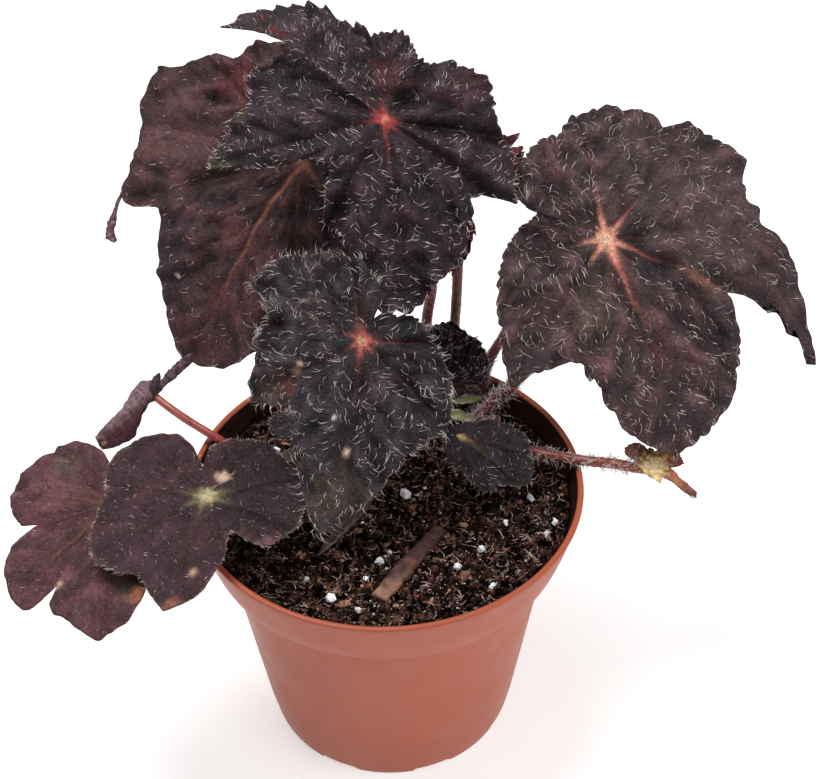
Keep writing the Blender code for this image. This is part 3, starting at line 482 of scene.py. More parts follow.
def hoops(radius, turn, height):
    """Points round the axis: (radius cos turn, radius sin turn, height)."""
    return np.stack(np.broadcast_arrays(radius * np.cos(turn), radius * np.sin(turn), height), -1)


def full_turn(sides):
    """Angles evenly round a circle: 2 pi i / sides."""
    return np.arange(sides) * TAU / sides


def grid(rows, columns, start=0, flip=False):
    """Quads between neighbours of a grid stored row by row, whose last column joins the first."""
    row = start + np.arange(rows - 1)[:, None] * columns
    column = np.arange(columns)[None]
    a, b = row + column, row + (column + 1) % columns
    quads = np.stack([a, b, b + columns, a + columns], -1).reshape(-1, 4)
    return quads[:, ::-1] if flip else quads


def fan(centre, start, columns, flip=False):
    """Triangles from one point to a ring of points."""
    i = np.arange(columns)
    faces = np.stack([np.full(columns, centre), start + i, start + (i + 1) % columns], -1)
    return faces[:, ::-1] if flip else faces


def closed_tube(rings, flip=False):
    """Points and faces of rings joined in order, with a fan over each end from the mean of its ring."""
    count, sides = rings.shape[:2]
    points = np.concatenate([rings.reshape(-1, 3), rings[:1].mean(1), rings[-1:].mean(1)])
    total = count * sides
    ends = [fan(total, 0, sides, not flip), fan(total + 1, total - sides, sides, flip)]
    return points, [grid(count, sides, flip=flip)] + ends


def gathered(parts):
    """Several sets of points and faces as one."""
    points, faces, start = [], [], 0
    for some, groups in parts:
        points.append(some)
        faces += [group + start for group in groups]
        start += len(some)
    return np.concatenate(points), faces


def put(name, points, faces, material, replaces=(), paint=None, flat=False):
    """A piece from points in millimetres and arrays of faces, riding on the body."""
    mesh = bpy.data.meshes.new(name)
    mesh.vertices.add(len(points))
    mesh.vertices.foreach_set("co", (np.ascontiguousarray(points, float) * MM).ravel())
    corners = np.concatenate([group.ravel() for group in faces])
    sizes = np.concatenate([np.full(len(group), group.shape[1]) for group in faces])
    mesh.loops.add(len(corners))
    mesh.loops.foreach_set("vertex_index", corners)
    mesh.polygons.add(len(sizes))
    mesh.polygons.foreach_set("loop_start", np.cumsum(sizes) - sizes)
    mesh.update(calc_edges=True)
    if paint is not None:
        colours = mesh.color_attributes.new("paint", "FLOAT_COLOR", "POINT")
        solid = np.concatenate([np.clip(paint, 0, 1), np.ones((len(paint), 1))], 1)
        colours.data.foreach_set("color", solid.ravel())
    if flat:
        mesh.shade_flat()
    else:
        mesh.shade_smooth()
    mesh.materials.append(material)
    made = bpy.data.objects.new(name, mesh)
    bpy.context.scene.collection.objects.link(made)
    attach(made, "root")
    if replaces:
        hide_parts(*replaces)
    return made


def set_inputs(node, values):
    """Sets a node's own sockets to constants."""
    for key, value in values.items():
        node.inputs[key].default_value = value


class Nodes:
    """A new material and short ways to add and join its nodes."""

    def __init__(self, name):
        self.material = bpy.data.materials.new(name)
        self.material.use_nodes = True
        self.tree = self.material.node_tree
        self.shader = self.tree.nodes["Principled BSDF"]
        self.place = self.add("ShaderNodeTexCoord").outputs["Object"]

    def add(self, kind, constants=None, **settings):
        node = self.tree.nodes.new(kind)
        for key, value in settings.items():
            setattr(node, key, value)
        set_inputs(node, constants or {})
        return node

    def join(self, source, target):
        self.tree.links.new(source, target)

    def noise(self, scale, detail=3.0, rough=0.55, place=None):
        node = self.add("ShaderNodeTexNoise", {"Scale": scale, "Detail": detail, "Roughness": rough})
        self.join(place or self.place, node.inputs["Vector"])
        return node.outputs["Fac"]

    def span(self, value, low, high, to_low, to_high):
        """A value spread from one range to another and held within it."""
        limits = {"From Min": low, "From Max": high, "To Min": to_low, "To Max": to_high}
        node = self.add("ShaderNodeMapRange", limits, clamp=True)
        self.join(value, node.inputs["Value"])
        return node.outputs["Result"]

    def mix(self, share, first, second, blend_type="MIX"):
        """Two colours mixed by a share; each may be a socket or a colour."""
        node = self.add("ShaderNodeMix", data_type="RGBA", blend_type=blend_type)
        for key, value in ((0, share), (6, first), (7, second)):
            if isinstance(value, bpy.types.NodeSocket):
                self.join(value, node.inputs[key])
            else:
                node.inputs[key].default_value = value if key == 0 else (*value, 1)
        return node.outputs[2]

    def mottle(self, scale, detail, low, high, first, second, most=1.0, rough=0.55, place=None):
        """Two colours in patches: the first where noise is under low, and most of the second above high."""
        patches = self.noise(scale, detail, rough, place)
        return self.mix(self.span(patches, low, high, 0.0, most), first, second)

    def bump(self, height, strength, distance):
        """Relief from a height, over any relief that the shader already has."""
        node = self.add("ShaderNodeBump", {"Strength": strength, "Distance": distance})
        self.join(height, node.inputs["Height"])
        last = self.shader.inputs["Normal"].links
        if last:
            self.join(last[0].from_socket, node.inputs["Normal"])
        self.join(node.outputs["Normal"], self.shader.inputs["Normal"])

    def finish(self, colour, rough_low, rough_high, scale, specular=0.5):
        """Colour to the shader, and a roughness that wanders between two values."""
        self.join(colour, self.shader.inputs["Base Color"])
        rough = self.span(self.noise(scale, 2.0), 0.35, 0.65, rough_low, rough_high)
        self.join(rough, self.shader.inputs["Roughness"])
        self.shader.inputs["Specular IOR Level"].default_value = specular
        return self.material


def painted(name, variation, scale, rough, specular=0.5, bump=(900.0, 0.3, 0.0003), glint=0.0):
    """A finish with the piece's own paint for colour, made uneven by noise, a fine grain in relief, and
    painted highlight specks where glint is given.
    """
    m = Nodes(name)
    paint = m.add("ShaderNodeAttribute", attribute_name="paint").outputs["Color"]
    shade = m.span(m.noise(scale, 4.0, 0.7), 0.32, 0.68, 1 - variation, 1 + variation)
    grey = m.add("ShaderNodeCombineColor")
    for key in ("Red", "Green", "Blue"):
        m.join(shade, grey.inputs[key])
    colour = m.mix(1.0, paint, grey.outputs["Color"], "MULTIPLY")
    # Painted highlights: pale pink specks where the noise is high, standing in for glints of light.
    if glint:
        colour = m.mottle(1500.0, 2.0, 0.58, 0.74, colour, tint(150, 116, 116), glint)
    m.bump(m.noise(bump[0], 4.0, 0.6), bump[1], bump[2])
    return m.finish(colour, *rough, scale * 0.7, specular)


def hair_finish():
    """Pale, faintly pink, slightly glossy hair."""
    m = Nodes("hair")
    colour = m.mottle(420.0, 1.0, 0.4, 0.6, tint(172, 152, 148), tint(228, 218, 216))
    return m.finish(colour, 0.35, 0.5, 300.0)


def pot_finish():
    """Semi-matt moulded plastic: an even clay red, painted near black inside as painted shade, with faint
    flow lines round the axis.
    """
    m = Nodes("pot_plastic")
    unshaded = m.add("ShaderNodeAttribute", attribute_name="paint").outputs["Fac"]
    clay = m.mottle(9.0, 3.0, 0.35, 0.65, tint(153, 75, 52), tint(159, 81, 58))
    # Painted shade: the inside of the pot is near black where unshaded is 0.
    colour = m.mix(unshaded, tint(26, 12, 10), clay)
    squeeze = m.add("ShaderNodeMapping", {"Scale": (6.0, 6.0, 240.0)})
    m.join(m.place, squeeze.inputs["Vector"])
    flow = squeeze.outputs["Vector"]
    colour = m.mottle(4.0, 3.0, 0.4, 0.8, colour, tint(150, 84, 68), 0.12, 0.6, flow)
    m.bump(m.noise(700.0, 3.0), 0.12, 0.0002)
    m.bump(m.noise(4.0, 2.0, 0.5, flow), 0.1, 0.0003)
    return m.finish(colour, 0.42, 0.52, 60.0, 0.35)


def perlite_finish():
    """White and rough, with greyer pits."""
    m = Nodes("perlite")
    m.bump(m.noise(1100.0, 3.0), 0.6, 0.0006)
    colour = m.mottle(500.0, 3.0, 0.35, 0.6, tint(196, 196, 198), tint(240, 240, 240))
    return m.finish(colour, 0.7, 0.9, 300.0, 0.4)


# The leaf skin has painted highlight specks (glint 0.2).
LEAF_SKIN = painted("leaf_skin", 0.5, 900.0, (0.36, 0.54), 0.2, (1000.0, 0.9, 0.0007), 0.2)
STALK_SKIN = painted("stalk_skin", 0.25, 300.0, (0.35, 0.5), 0.5, (1100.0, 0.3, 0.0002))
DULL_SKIN = painted("dull_skin", 0.35, 420.0, (0.7, 0.9), 0.3, (1500.0, 0.6, 0.0004))
HAIR = hair_finish()


def wrapped(angle):
    """An angle in degrees brought within -180 to 180."""
    return (angle + 180) % 360 - 180


def near(angle, lobe, spread):
    """1 in a direction and less to both sides of it: exp(-(difference / spread)^2)."""
    return np.exp(-(wrapped(angle - lobe) / spread) ** 2)


def turn_of(leaf):
    """Columns: the blade's right, back and outward directions, turned by its lean about a level axis.

    With cross as the axis's cross product, the turn is 1 + sin(lean) cross + (1 - cos(lean)) cross^2.
    """
    lean, toward = math.radians(leaf["lean"]), math.radians(leaf["toward"])
    axis = np.array([-math.sin(toward), math.cos(toward), 0])
    cross = np.array([[0, -axis[2], axis[1]], [axis[2], 0, -axis[0]], [-axis[1], axis[0], 0]])
    return np.eye(3) + math.sin(lean) * cross + (1 - math.cos(lean)) * cross @ cross


def reach_at(leaf, angle):
    """The margin's reach in directions, read straight between its points."""
    return np.interp(angle, *np.array(leaf["margin"], float).T, period=360)


def swept(leaf, angle, far):
    """Directions as the veins run: those near one vein are turned by amount exp(-far / scale)."""
    lobe, spread, amount, scale = leaf["sweep"]
    return angle - amount * np.exp(-far / scale) * near(angle, lobe, spread)


def vein_field(leaf, angle, far):
    """Distance across to the nearest main vein, and the phase between its side veins.

    Side veins leave a main vein at about 45 degrees, evenly spaced, so a phase that is a whole
    number, (along - across) / spacing, marks a side vein and a half marks the middle of a cell.
    """
    veins = np.array(leaf["veins"], float)
    angle = swept(leaf, angle, far)
    off = wrapped(angle[..., None] - veins)
    nearest = np.abs(off).argmin(-1)
    own = np.radians(np.take_along_axis(off, nearest[..., None], -1)[..., 0])
    along, across = far * np.cos(own), far * np.sin(own)
    across = np.where(np.abs(own) > 1.5, far, across)
    flat = far[..., None] * rays(np.radians(angle))
    phase = (along - 1.05 * np.abs(across) + 1.6 * swell(flat, 12.0, 5)) / leaf["spacing"]
    return np.abs(across), phase + 0.5 * (across > 0) + 0.37 * nearest


def leaf_points(name, leaf, angle, share):
    """World points of a blade's upper face, with local place, reach, and what the paint needs.

    Reach is read straight between the margin's points and gets fine teeth. Height is the puff
    between veins, less a droop with the square of the reach, plus a waved margin, folds,
    pleats, cells puffed between the side veins, less a groove at each main vein, plus smooth noise.
    """
    seed = sum(name.encode())
    longest = max(reach for _, reach in leaf["margin"])
    turn = np.radians(angle)
    ring = rays(turn)
    jag = np.abs(np.sin(0.5 * leaf["teeth"] * turn + 1.4 * swell(ring, 0.35, seed))) ** 0.7 - 0.6
    jag = jag * (0.75 + 0.5 * swell(ring, 0.5, seed + 1)) + 0.45 * swell(ring, 0.12, seed + 2)
    far = (reach_at(leaf, angle) + leaf["tooth"] * jag) * share
    turned = angle.astype(float)
    for lobe, spread, start, depth, gap in leaf["bites"]:
        saw = ((far - start) / gap % 1) ** 1.5 * (far > start)
        turned = turned - depth * saw * near(angle, lobe, spread)
    for lobe, spread, start, bend in leaf["hooks"]:
        out = np.clip((far - start) / (longest - start), 0, 1)
        turned = turned + bend * out * near(angle, lobe, spread)
    veins = np.sort(np.array(leaf["veins"], float) % 360)
    after = np.searchsorted(veins, angle % 360, side="right")
    before, following = veins[after - 1], veins[after % len(veins)]
    between = ((angle - before) % 360) / ((following - before) % 360)
    calm = smooth(far, *CALM_REACH)
    rise = calm * leaf["puff"] * np.abs(np.sin(np.pi * between)) ** 0.8 * share * (2 - 1.5 * share)
    rise -= leaf["droop"] * (far / 45) ** 2
    rise += leaf["wave"] * np.sin(np.radians(angle * leaf["waves"])) * share ** 3
    for lobe, spread, drop in leaf["bends"]:
        rise -= drop * near(angle, lobe, spread) * share ** 2
    pleats, depth = leaf["pleats"]
    pleat = np.sin(np.radians(pleats * angle) + 2 * swell(ring, 0.5, seed + 6))
    pleat = depth * pleat * calm * share ** 0.7
    rise += pleat
    # Painted shade and light that follow the pleats, folds and dents: darker where sunk, lighter where
    # raised.
    fold_shading = 0.8 * pleat
    for lobe, spread, height in leaf["folds"]:
        fold = height * near(angle, lobe, spread)
        rise += fold * calm * share ** 0.5
        fold_shading += 0.25 * fold
    for lobe, reached, length, width, height in leaf["dents"]:
        off = np.radians(wrapped(angle - lobe))
        onward, aside = (far * np.cos(off) - reached) / length, far * np.sin(off) / width
        dent = height * np.exp(-onward ** 2 - aside ** 2)
        rise += dent
        fold_shading += 0.4 * dent
    flat = far[..., None] * rays(np.radians(turned))
    across, phase = vein_field(leaf, angle, far)
    cells = (np.abs(np.sin(np.pi * phase)) ** 0.7 - 0.6) * smooth(across, 0.4, 4.5)
    groove = np.exp(-(across / 1.9) ** 2)
    pucker = 0.9 * cells + 0.8 * swell(flat, 12.0, seed + 3) + 0.2 * swell(flat, 4.0, seed + 4)
    rise += leaf["relief"] * min(1.0, longest / 40) * calm * (pucker - 0.8 * groove)
    rise += 0.9 * leaf["wave"] * swell(ring, 0.22, seed + 5) * share ** 4
    world = np.array(leaf["hub"], float) + np.concatenate([flat, rise[..., None]], -1) @ turn_of(leaf).T
    # Painted shading of the relief: low in hollows and grooves, high on ridges and puffed cells.
    painted_shading = 0.85 * pucker * (0.35 + 0.65 * calm) - 0.3 * groove * calm + fold_shading
    return world, flat, far, across, painted_shading


def leaf_paint(name, leaf, angle, share, flat, far, across, painted_shading):
    """Colour of the upper face: the skin with painted shade in its hollows and painted light on its ridges,
    then the veins, spots, hub and edge.
    """
    seed = sum(name.encode()) + 40
    hub = leaf["glow_size"]
    paint = tint(*leaf["skin"]) * np.ones(share.shape + (1,))
    uneven = 1 + 0.18 * swell(flat, 20.0, seed) + 0.08 * swell(flat, 5.0, seed + 1)
    uneven = uneven + 0.08 * swell(flat, 1.6, seed + 3)
    # Painted shade in the hollows and painted light on the ridges: the skin times exp(depth times the
    # shading).
    paint = paint * (uneven * np.clip(np.exp(leaf["depth"] * painted_shading), 0.1, 2.6))[..., None]
    red = np.clip(0.4 + swell(flat, 20.0, seed + 2), 0, 1)[..., None]
    paint = paint * (1 + leaf["depth"] * red * np.array([0.2, -0.04, -0.02]))
    fine = np.exp(-(across / 0.55) ** 2) * (1 - smooth(share, 0.5, 0.95)) * smooth(far, 3, 8)
    paint = blend(paint, leaf["vein"], leaf["line"] * fine)
    for direction, reach, size, colour, strength in leaf["spots"]:
        away = np.linalg.norm(flat - reach * rays(math.radians(direction)), axis=-1)
        away = away * (1 + min(0.5, 0.1 * size) * swell(flat, max(2.5, size), seed + 5))
        paint = blend(paint, colour, strength * (1 - smooth(away, size * 0.3, size * 1.4)))
    wander = leaf["wander"] * swell(flat, 14.0, seed + 6)
    patchy = np.clip(0.9 + 0.2 * swell(flat, 3.0, seed + 7), 0, 1)
    for direction, length, half, strength in leaf["streaks"]:
        off = np.radians(wrapped(swept(leaf, angle, far) - direction)) + wander
        aside = np.abs(far * np.sin(off)) + 50 * (np.abs(off) > 1.2)
        width = half * (1.1 - 0.6 * np.clip(far / length, 0, 1))
        fade = (1 - smooth(far, length * 0.3, length)) * patchy
        paint = blend(paint, leaf["vein"], strength * np.exp(-(aside / width) ** 2) * fade)
        ray = (1 - smooth(far, hub * 0.5, hub * 1.7)) * np.exp(-(aside / (0.7 * half + 0.3)) ** 2)
        paint = blend(paint, leaf["glow"], leaf["rays"] * ray)
    blot = far * (1 + 0.3 * swell(flat, 2.2, seed + 8))
    paint = blend(paint, leaf["glow"], 1.0 - smooth(blot, hub * 0.25, hub * 0.7))
    paint = blend(paint, leaf["core"], 0.9 * (1 - smooth(blot, hub * 0.15, hub * 0.42)))
    return blend(paint, leaf["edge"], 0.5 * smooth(share, 0.97, 1.0))


def leaf(name):
    """A blade: a polar grid of upper points, a coarser one let down along the normals, and a closed rim.

    Its columns stand closer where the margin runs outward, by a share of the margin's length. It is
    0.6 mm thick and 0.3 mm at the margin.
    """
    spec = LEAVES[name]
    sides, rings = spec["sides"], spec["rings"]
    dense = np.linspace(0, 360, 2881)
    reach = reach_at(spec, dense)
    step = np.hypot(np.diff(reach), np.radians(dense[1]) * reach[1:])
    walk = np.concatenate([[0], np.cumsum(0.3 * step / step.mean() + 0.7)])
    angle = np.interp(np.arange(sides) / sides * walk[-1], walk, dense) * np.ones((rings, 1))
    share = ((np.arange(rings) + 1) / rings)[:, None] ** 0.9 * np.ones((1, sides))
    top, flat, far, across, painted_shading = leaf_points(name, spec, angle, share)
    paint = leaf_paint(name, spec, angle, share, flat, far, across, painted_shading)
    hub = leaf_points(name, spec, np.zeros((1, 1)), np.zeros((1, 1)))[0].reshape(1, 3)
    normal = unit(np.cross(np.gradient(top, axis=0), np.roll(top, -1, 1) - np.roll(top, 1, 1)))
    thick = 0.6 - 0.3 * smooth(share, 0.8, 1.0)[..., None]
    under = (top - thick * normal)[1::2]
    middle = unit(normal[0].mean(0, keepdims=True))
    points = np.concatenate([hub, top.reshape(-1, 3), hub - 0.6 * middle, under.reshape(-1, 3)])
    total, low = 1 + rings * sides, len(under)
    last, lowest = 1 + (rings - 1) * sides, total + 1 + (low - 1) * sides
    i = np.arange(sides)
    j = (i + 1) % sides
    rim = np.stack([last + i, lowest + i, lowest + j, last + j], -1)
    faces = [
        grid(rings, sides, 1, flip=True), fan(0, 1, sides),
        grid(low, sides, total + 1), fan(total, total + 1, sides, flip=True), rim,
    ]
    below = tint(*spec["under"]) * (0.75 + 0.35 * swell(flat, 12.0, 7))[..., None]
    below = below * (1 + 0.5 * np.exp(-(across / 0.9) ** 2))[..., None]
    for lobe, spread, start, _, _ in spec["bites"]:
        below = blend(below, spec["skin"], near(angle, lobe, 3 * spread) * smooth(far, start - 6, start))
    colours = np.concatenate([
        [tint(*spec["core"])], paint.reshape(-1, 3), [tint(*spec["under"])], below[1::2].reshape(-1, 3),
    ])
    put(name + "_blade", points, faces, LEAF_SKIN, (name,), colours)


def strands(roots, ahead, side_turn, lengths, width, random, curl=(0.1, 0.6), rings=4):
    """Curved tapered hairs with three sides and a point, as one set of points and faces.

    A hair's line is root + length ((t - 0.4 t^2) ahead + (curl t^2 + 0.3 wave sin(2 pi t)) sideways).
    """
    count = len(roots)
    t = ((np.arange(rings + 1) / rings) ** 0.85)[None, :, None]
    ahead = unit(ahead)
    side = unit(side_turn - ahead * (side_turn * ahead).sum(-1, keepdims=True))
    curl = random.uniform(*curl, (count, 1, 1))
    wave = random.uniform(-0.2, 0.2, (count, 1, 1))
    sideways = curl * t ** 2 + wave * np.sin(TAU * t) * 0.3
    onward = ahead[:, None] * (t - 0.4 * t ** 2) + side[:, None] * sideways
    line = roots[:, None] + lengths[:, None, None] * onward
    turn = full_turn(3)[:, None]
    around = side[:, None] * np.cos(turn) + unit(np.cross(ahead, side))[:, None] * np.sin(turn)
    half = 0.5 * width * (1 - 0.55 * t[:, :-1, :, None] ** 2)
    solid = line[:, :rings, None] + half * around[:, None]
    points = np.concatenate([solid.reshape(count, 3 * rings, 3), line[:, rings:]], 1)
    last, tip = 3 * rings - 3, 3 * rings
    ends = np.array([[last, last + 1, tip], [last + 1, last + 2, tip], [last + 2, last, tip], [0, 2, 1]])
    base = np.arange(count)[:, None, None] * (3 * rings + 1)
    return points.reshape(-1, 3), [(grid(rings, 3) + base).reshape(-1, 4), (ends + base).reshape(-1, 3)]


def leaf_hairs(name):
    """Hairs over the face, even by area and combed outward and to one side, and a fringe at the margin."""
    spec = LEAVES[name]
    random = np.random.default_rng(sum(name.encode()) + 100)
    angles = np.linspace(0, 360, 721)
    reach = reach_at(spec, angles)
    parts = []
    for fringe, count in ((False, 2 * spec["hairs"]), (True, spec["fringe"])):
        weight = np.cumsum(reach if fringe else reach ** 2)
        angle = np.interp(random.uniform(0, weight[-1], count), weight, angles)
        if fringe:
            share = random.uniform(0.965, 0.998, count)
        else:
            share = np.sqrt(random.uniform(0.02, 0.98, count))
            for lobe, spread, part in spec["ridges"]:
                gathers = random.uniform(0, 1, count) < part
                angle = np.where(gathers, lobe + random.normal(0, spread, count), angle)
        root, flat, _, _, painted_shading = leaf_points(name, spec, angle, share)
        wanted = 0.35 * painted_shading + 0.5 * swell(flat, 14.0, 13) + random.normal(0, 0.8, count)
        keep = slice(None) if fringe else np.argsort(-wanted)[: count // 2]
        angle, share, root, flat = angle[keep], share[keep], root[keep], flat[keep]
        count = len(share)
        inward = leaf_points(name, spec, angle, share - 0.02)[0]
        beside = leaf_points(name, spec, angle + 1.0, share)[0]
        out = unit(root - inward)
        normal = unit(np.cross(out, beside - root))
        across = np.cross(normal, out)
        heading = np.radians(42 * swell(flat, 22.0, 11) + random.normal(0, 13, count))[:, None]
        lift = spec["lift"] * random.uniform(0.5, 1.5, (count, 1)) * (0.5 if fringe else 1.0)
        ahead = out * np.cos(heading) + across * np.sin(heading) * (0.6 if fringe else 1.0) + normal * lift
        ahead = ahead + np.array(spec["comb"]) * (0.4 if fringe else 1.0)
        bow = np.where(swell(flat, 18.0, 12) + random.normal(0, 0.4, count) > 0, 1.0, -1.0)[:, None]
        sideways = bow * across - 0.3 * normal + random.normal(0, 0.25, (count, 3))
        lengths = spec["length"] * random.uniform(0.55, 1.3, count)
        root = root - 0.15 * normal
        parts.append(strands(root, ahead, sideways, lengths, HAIR_WIDTH, random, (0.45, 1.15)))
    points, faces = gathered(parts)
    put(name + "_hairs", points, faces, HAIR)


def curve_through(points, steps):
    """A smooth curve through all the points, with the same number of steps between each two.

    Between two points it is a cubic whose slope at each is half the way from the one before to the
    one after.
    """
    p = np.asarray(points, float)
    p = np.concatenate([2 * p[:1] - p[1:2], p, 2 * p[-1:] - p[-2:-1]])
    t = (np.arange(steps) / steps)[:, None]
    runs = []
    for a, b, c, d in zip(p, p[1:], p[2:], p[3:]):
        square = 2 * a - 5 * b + 4 * c - d
        runs.append(0.5 * (2 * b + (c - a) * t + square * t ** 2 + (3 * b - a - 3 * c + d) * t ** 3))
    return np.concatenate(runs + [p[-2:-1]])


def tube(line, wide, high, sides, level):
    """Rings round a line: point + wide cos(turn) across + high sin(turn) above.

    across is at right angles to the line and to the level direction, and above is at right angles
    to the line and to across. The line's direction and these two are given too.
    """
    ahead = unit(np.gradient(line, axis=0))
    across = unit(np.cross(ahead, np.asarray(level, float)))
    above = np.cross(ahead, across)
    turn = full_turn(sides)
    rings = line[:, None] + across[:, None] * (wide * np.cos(turn))[..., None]
    return rings + above[:, None] * (high * np.sin(turn))[..., None], ahead, across, above


def stalk(name):
    """A fleshy stalk with five faint ribs and hairs standing out from it.

    It is a tube whose half-thickness falls by 0.15 of itself along the way and swells by 0.12 where it
    joins the blade, times 1 + 0.05 sin(5 turn) and a little noise.
    """
    spec = STALKS[name]
    blade = LEAVES[name.replace("stalk", "leaf")]
    hub, outward = np.array(blade["hub"], float), turn_of(blade)[:, 2]
    x, y = spec["foot"]
    onward = spec["way"] + [tuple(hub - spec["approach"] * outward)]
    start = (x + TURN * (onward[0][0] - x), y + TURN * (onward[0][1] - y), SOIL_LEVEL + 5.5)
    route = [(x, y, STALK_FOOT), (x, y, SOIL_LEVEL - 1), (x, y, SOIL_LEVEL + 2.5), start]
    line = curve_through(route + onward + [tuple(hub - (BLADE + 0.1) * outward)], 8)
    along = np.linspace(0, 1, len(line))
    ribs = np.sin(5 * full_turn(STALK_SIDES))
    heading = math.atan2(hub[1] - y, hub[0] - x)
    half = spec["half"] * (1 - 0.15 * along + 0.12 * np.exp(-((along - 1) / 0.04) ** 2))
    half = half[:, None] * (1 + 0.05 * ribs + 0.04 * swell(line, 7.0, 3)[:, None])
    level = (-math.sin(heading), math.cos(heading), 0)
    rings, ahead, across, above = tube(line, half, half, STALK_SIDES, level)
    points, faces = closed_tube(rings)
    paint = blend(tint(*spec["low"]), spec["high"], smooth(along, 0.25, 0.95)[:, None])
    paint = paint * (1 + 0.15 * ribs + 0.32 * swell(rings, 2.6, 8))[..., None]
    paint = np.concatenate([paint.reshape(-1, 3), paint[0, :1], paint[-1, :1]])
    put(name + "_body", points, faces, STALK_SKIN, (name,), paint)
    random = np.random.default_rng(sum(name.encode()) + 7)
    count = spec["hairs"]
    lowest = np.searchsorted(line[:, 2], SOIL_LEVEL + 1.5)
    at = random.uniform(0, 1, count) ** spec["low_hairs"]
    at = (lowest + at * (len(line) - spec["bare"] - lowest)).astype(int)
    spin = random.uniform(0, TAU, count)[:, None]
    out = across[at] * np.cos(spin) + above[at] * np.sin(spin)
    root = line[at] + out * (half[at].mean(1)[:, None] * 0.9)
    root = root + ahead[at] * random.uniform(-0.5, 0.5, (count, 1))
    direction = out + ahead[at] * random.uniform(*spec["swept"], (count, 1))
    direction = direction + random.normal(0, 0.25, (count, 3))
    lengths = spec["length"] * random.uniform(0.4, 1.15, count)
    sideways = random.normal(size=(count, 3))
    rings = 4 if spec["length"] > 2 else 3
    points, faces = strands(root, direction, sideways, lengths, spec["thick"], random, (0.2, 0.9), rings)
    put(name + "_hairs", points, faces, HAIR)


def plain_paint(colour, variation, size, seed, second=None):
    """A colour made lighter and darker by noise, and mixed in patches with a second one."""
    def paint(points):
        base = tint(*colour) * np.ones((len(points), 1))
        if second:
            base = blend(base, second, smooth(swell(points, size * 2, seed + 9), -0.1, 0.4))
        return base * (1 + variation * swell(points, size, seed))[:, None]
    return paint


def chip_paint(points):
    """The bark chip's colour: dark brown, and pale tan toward its near end."""
    paint = plain_paint((64, 43, 41), 0.35, 2.4, 7, (84, 58, 50))(points)
    share = 0.85 * smooth(-points[:, 1] + 2 * swell(points, 4.0, 2), 33, 42)[:, None]
    return paint * (1 - share) + tint(138, 102, 86) * share * (1 + 0.3 * swell(points, 1.6, 4)[:, None])


def rolled_paint_with_shading(points):
    """Painted light and shade: lighter grey-purple on the upper left, which faces the light, and darker
    plum on the shaded lower right, hatched across by the painted shade of fine wrinkles.
    """
    view = np.array([0.62, -0.5, -0.6])
    seen = points @ view
    along = points @ np.array([0.6, 0.62, 0.5])
    middle = np.array([-78.6, 22.6, 102.8]) @ view
    # side: 0 on the lit upper left, 1 on the shaded lower right.
    side = smooth(seen - middle + 0.8 * swell(points, 3.0, 15), -2.0, 2.2)
    # Painted shade of wrinkles: light and dark stripes across the roll.
    hatch = np.sin(TAU * (along + 0.5 * seen) / 1.1 + 3.2 * swell(points, 3.0, 16))
    uneven = (1 + 0.25 * hatch) * (1 + 0.45 * swell(points, 1.4, 17))
    return blend(tint(112, 90, 95), (66, 38, 44), side) * uneven[:, None]


def lying(name, line, wide, high, sides, steps, material, paint_of,
          ripple, size=3.0, owner=None, level=(0, 0, 1)):
    """A piece that lies along a line: a tube whose width and height are read straight between those
    given, each point moved out or in by 1 + ripple noise.

    A piece that has an owner replaces nothing.
    """
    line = curve_through(line, steps)
    along, known = np.linspace(0, 1, len(line)), np.linspace(0, 1, len(wide))
    wide, high = np.interp(along, known, wide)[:, None], np.interp(along, known, high)[:, None]
    rings = tube(line, wide, high, sides, level)[0]
    away = rings - line[:, None]
    rings = line[:, None] + away * (1 + ripple * swell(rings, size, len(name)))[..., None]
    points, faces = closed_tube(rings)
    nodes = () if owner else (name,)
    put(name + "_piece", points, faces, material, nodes, paint_of(points))


def rolled_leaf():
    """The far leaf, seen as a wrinkled roll with a blunt open end, a narrow folded lobe and a spike."""
    seen = (0, 0.76, -0.65)
    lying("leaf_rolled",
          [(-71.6, 30.6, 105.4), (-73.3, 30.4, 105.4), (-75.3, 28.6, 105.0), (-77.4, 25.2, 103.9),
           (-79.0, 21.2, 102.4), (-81.0, 17.4, 101.0), (-84.2, 15.0, 99.7), (-88.4, 13.4, 98.0)],
          [1.4, 3.0, 3.6, 3.3, 3.6, 4.5, 3.9, 2.4], [1.0, 1.7, 2.0, 1.9, 2.0, 2.1, 1.9, 1.5],
          40, 12, DULL_SKIN, rolled_paint_with_shading, 0.09, 3.2, level=seen)
    lying("leaf_rolled_lobe",
          [(-72.9, 29.0, 103.8), (-70.3, 33.2, 104.3), (-68.4, 36.3, 104.8), (-66.1, 40.3, 104.9),
           (-64.1, 43.9, 104.5), (-61.6, 47.9, 103.9)],
          [0.8, 1.3, 1.6, 1.5, 1.7, 1.3], [0.5, 0.6, 0.7, 0.6, 0.6, 0.4],
          16, 8, DULL_SKIN, plain_paint((92, 70, 76), 0.4, 1.4, 12, (62, 40, 46)),
          0.2, 2.0, "leaf_rolled", seen)
    lying("leaf_rolled_spike",
          [(-73.6, 27.6, 104.6), (-72.1, 29.2, 107.1), (-71.2, 31.6, 108.5), (-70.7, 33.4, 109.1)],
          [0.7, 1.4, 1.3, 0.3], [0.4, 0.6, 0.5, 0.2],
          14, 8, DULL_SKIN, plain_paint((60, 48, 52), 0.4, 1.6, 13), 0.12, 2.0, "leaf_rolled", seen)
    lying("leaf_rolled_end",
          [(-85.4, 12.9, 99.6), (-87.0, 12.6, 98.6), (-88.0, 12.5, 97.6)],
          [0.4, 1.1, 0.5], [0.3, 0.6, 0.4],
          14, 8, DULL_SKIN, plain_paint((128, 78, 74), 0.4, 1.2, 14), 0.3, 1.5, "leaf_rolled", seen)


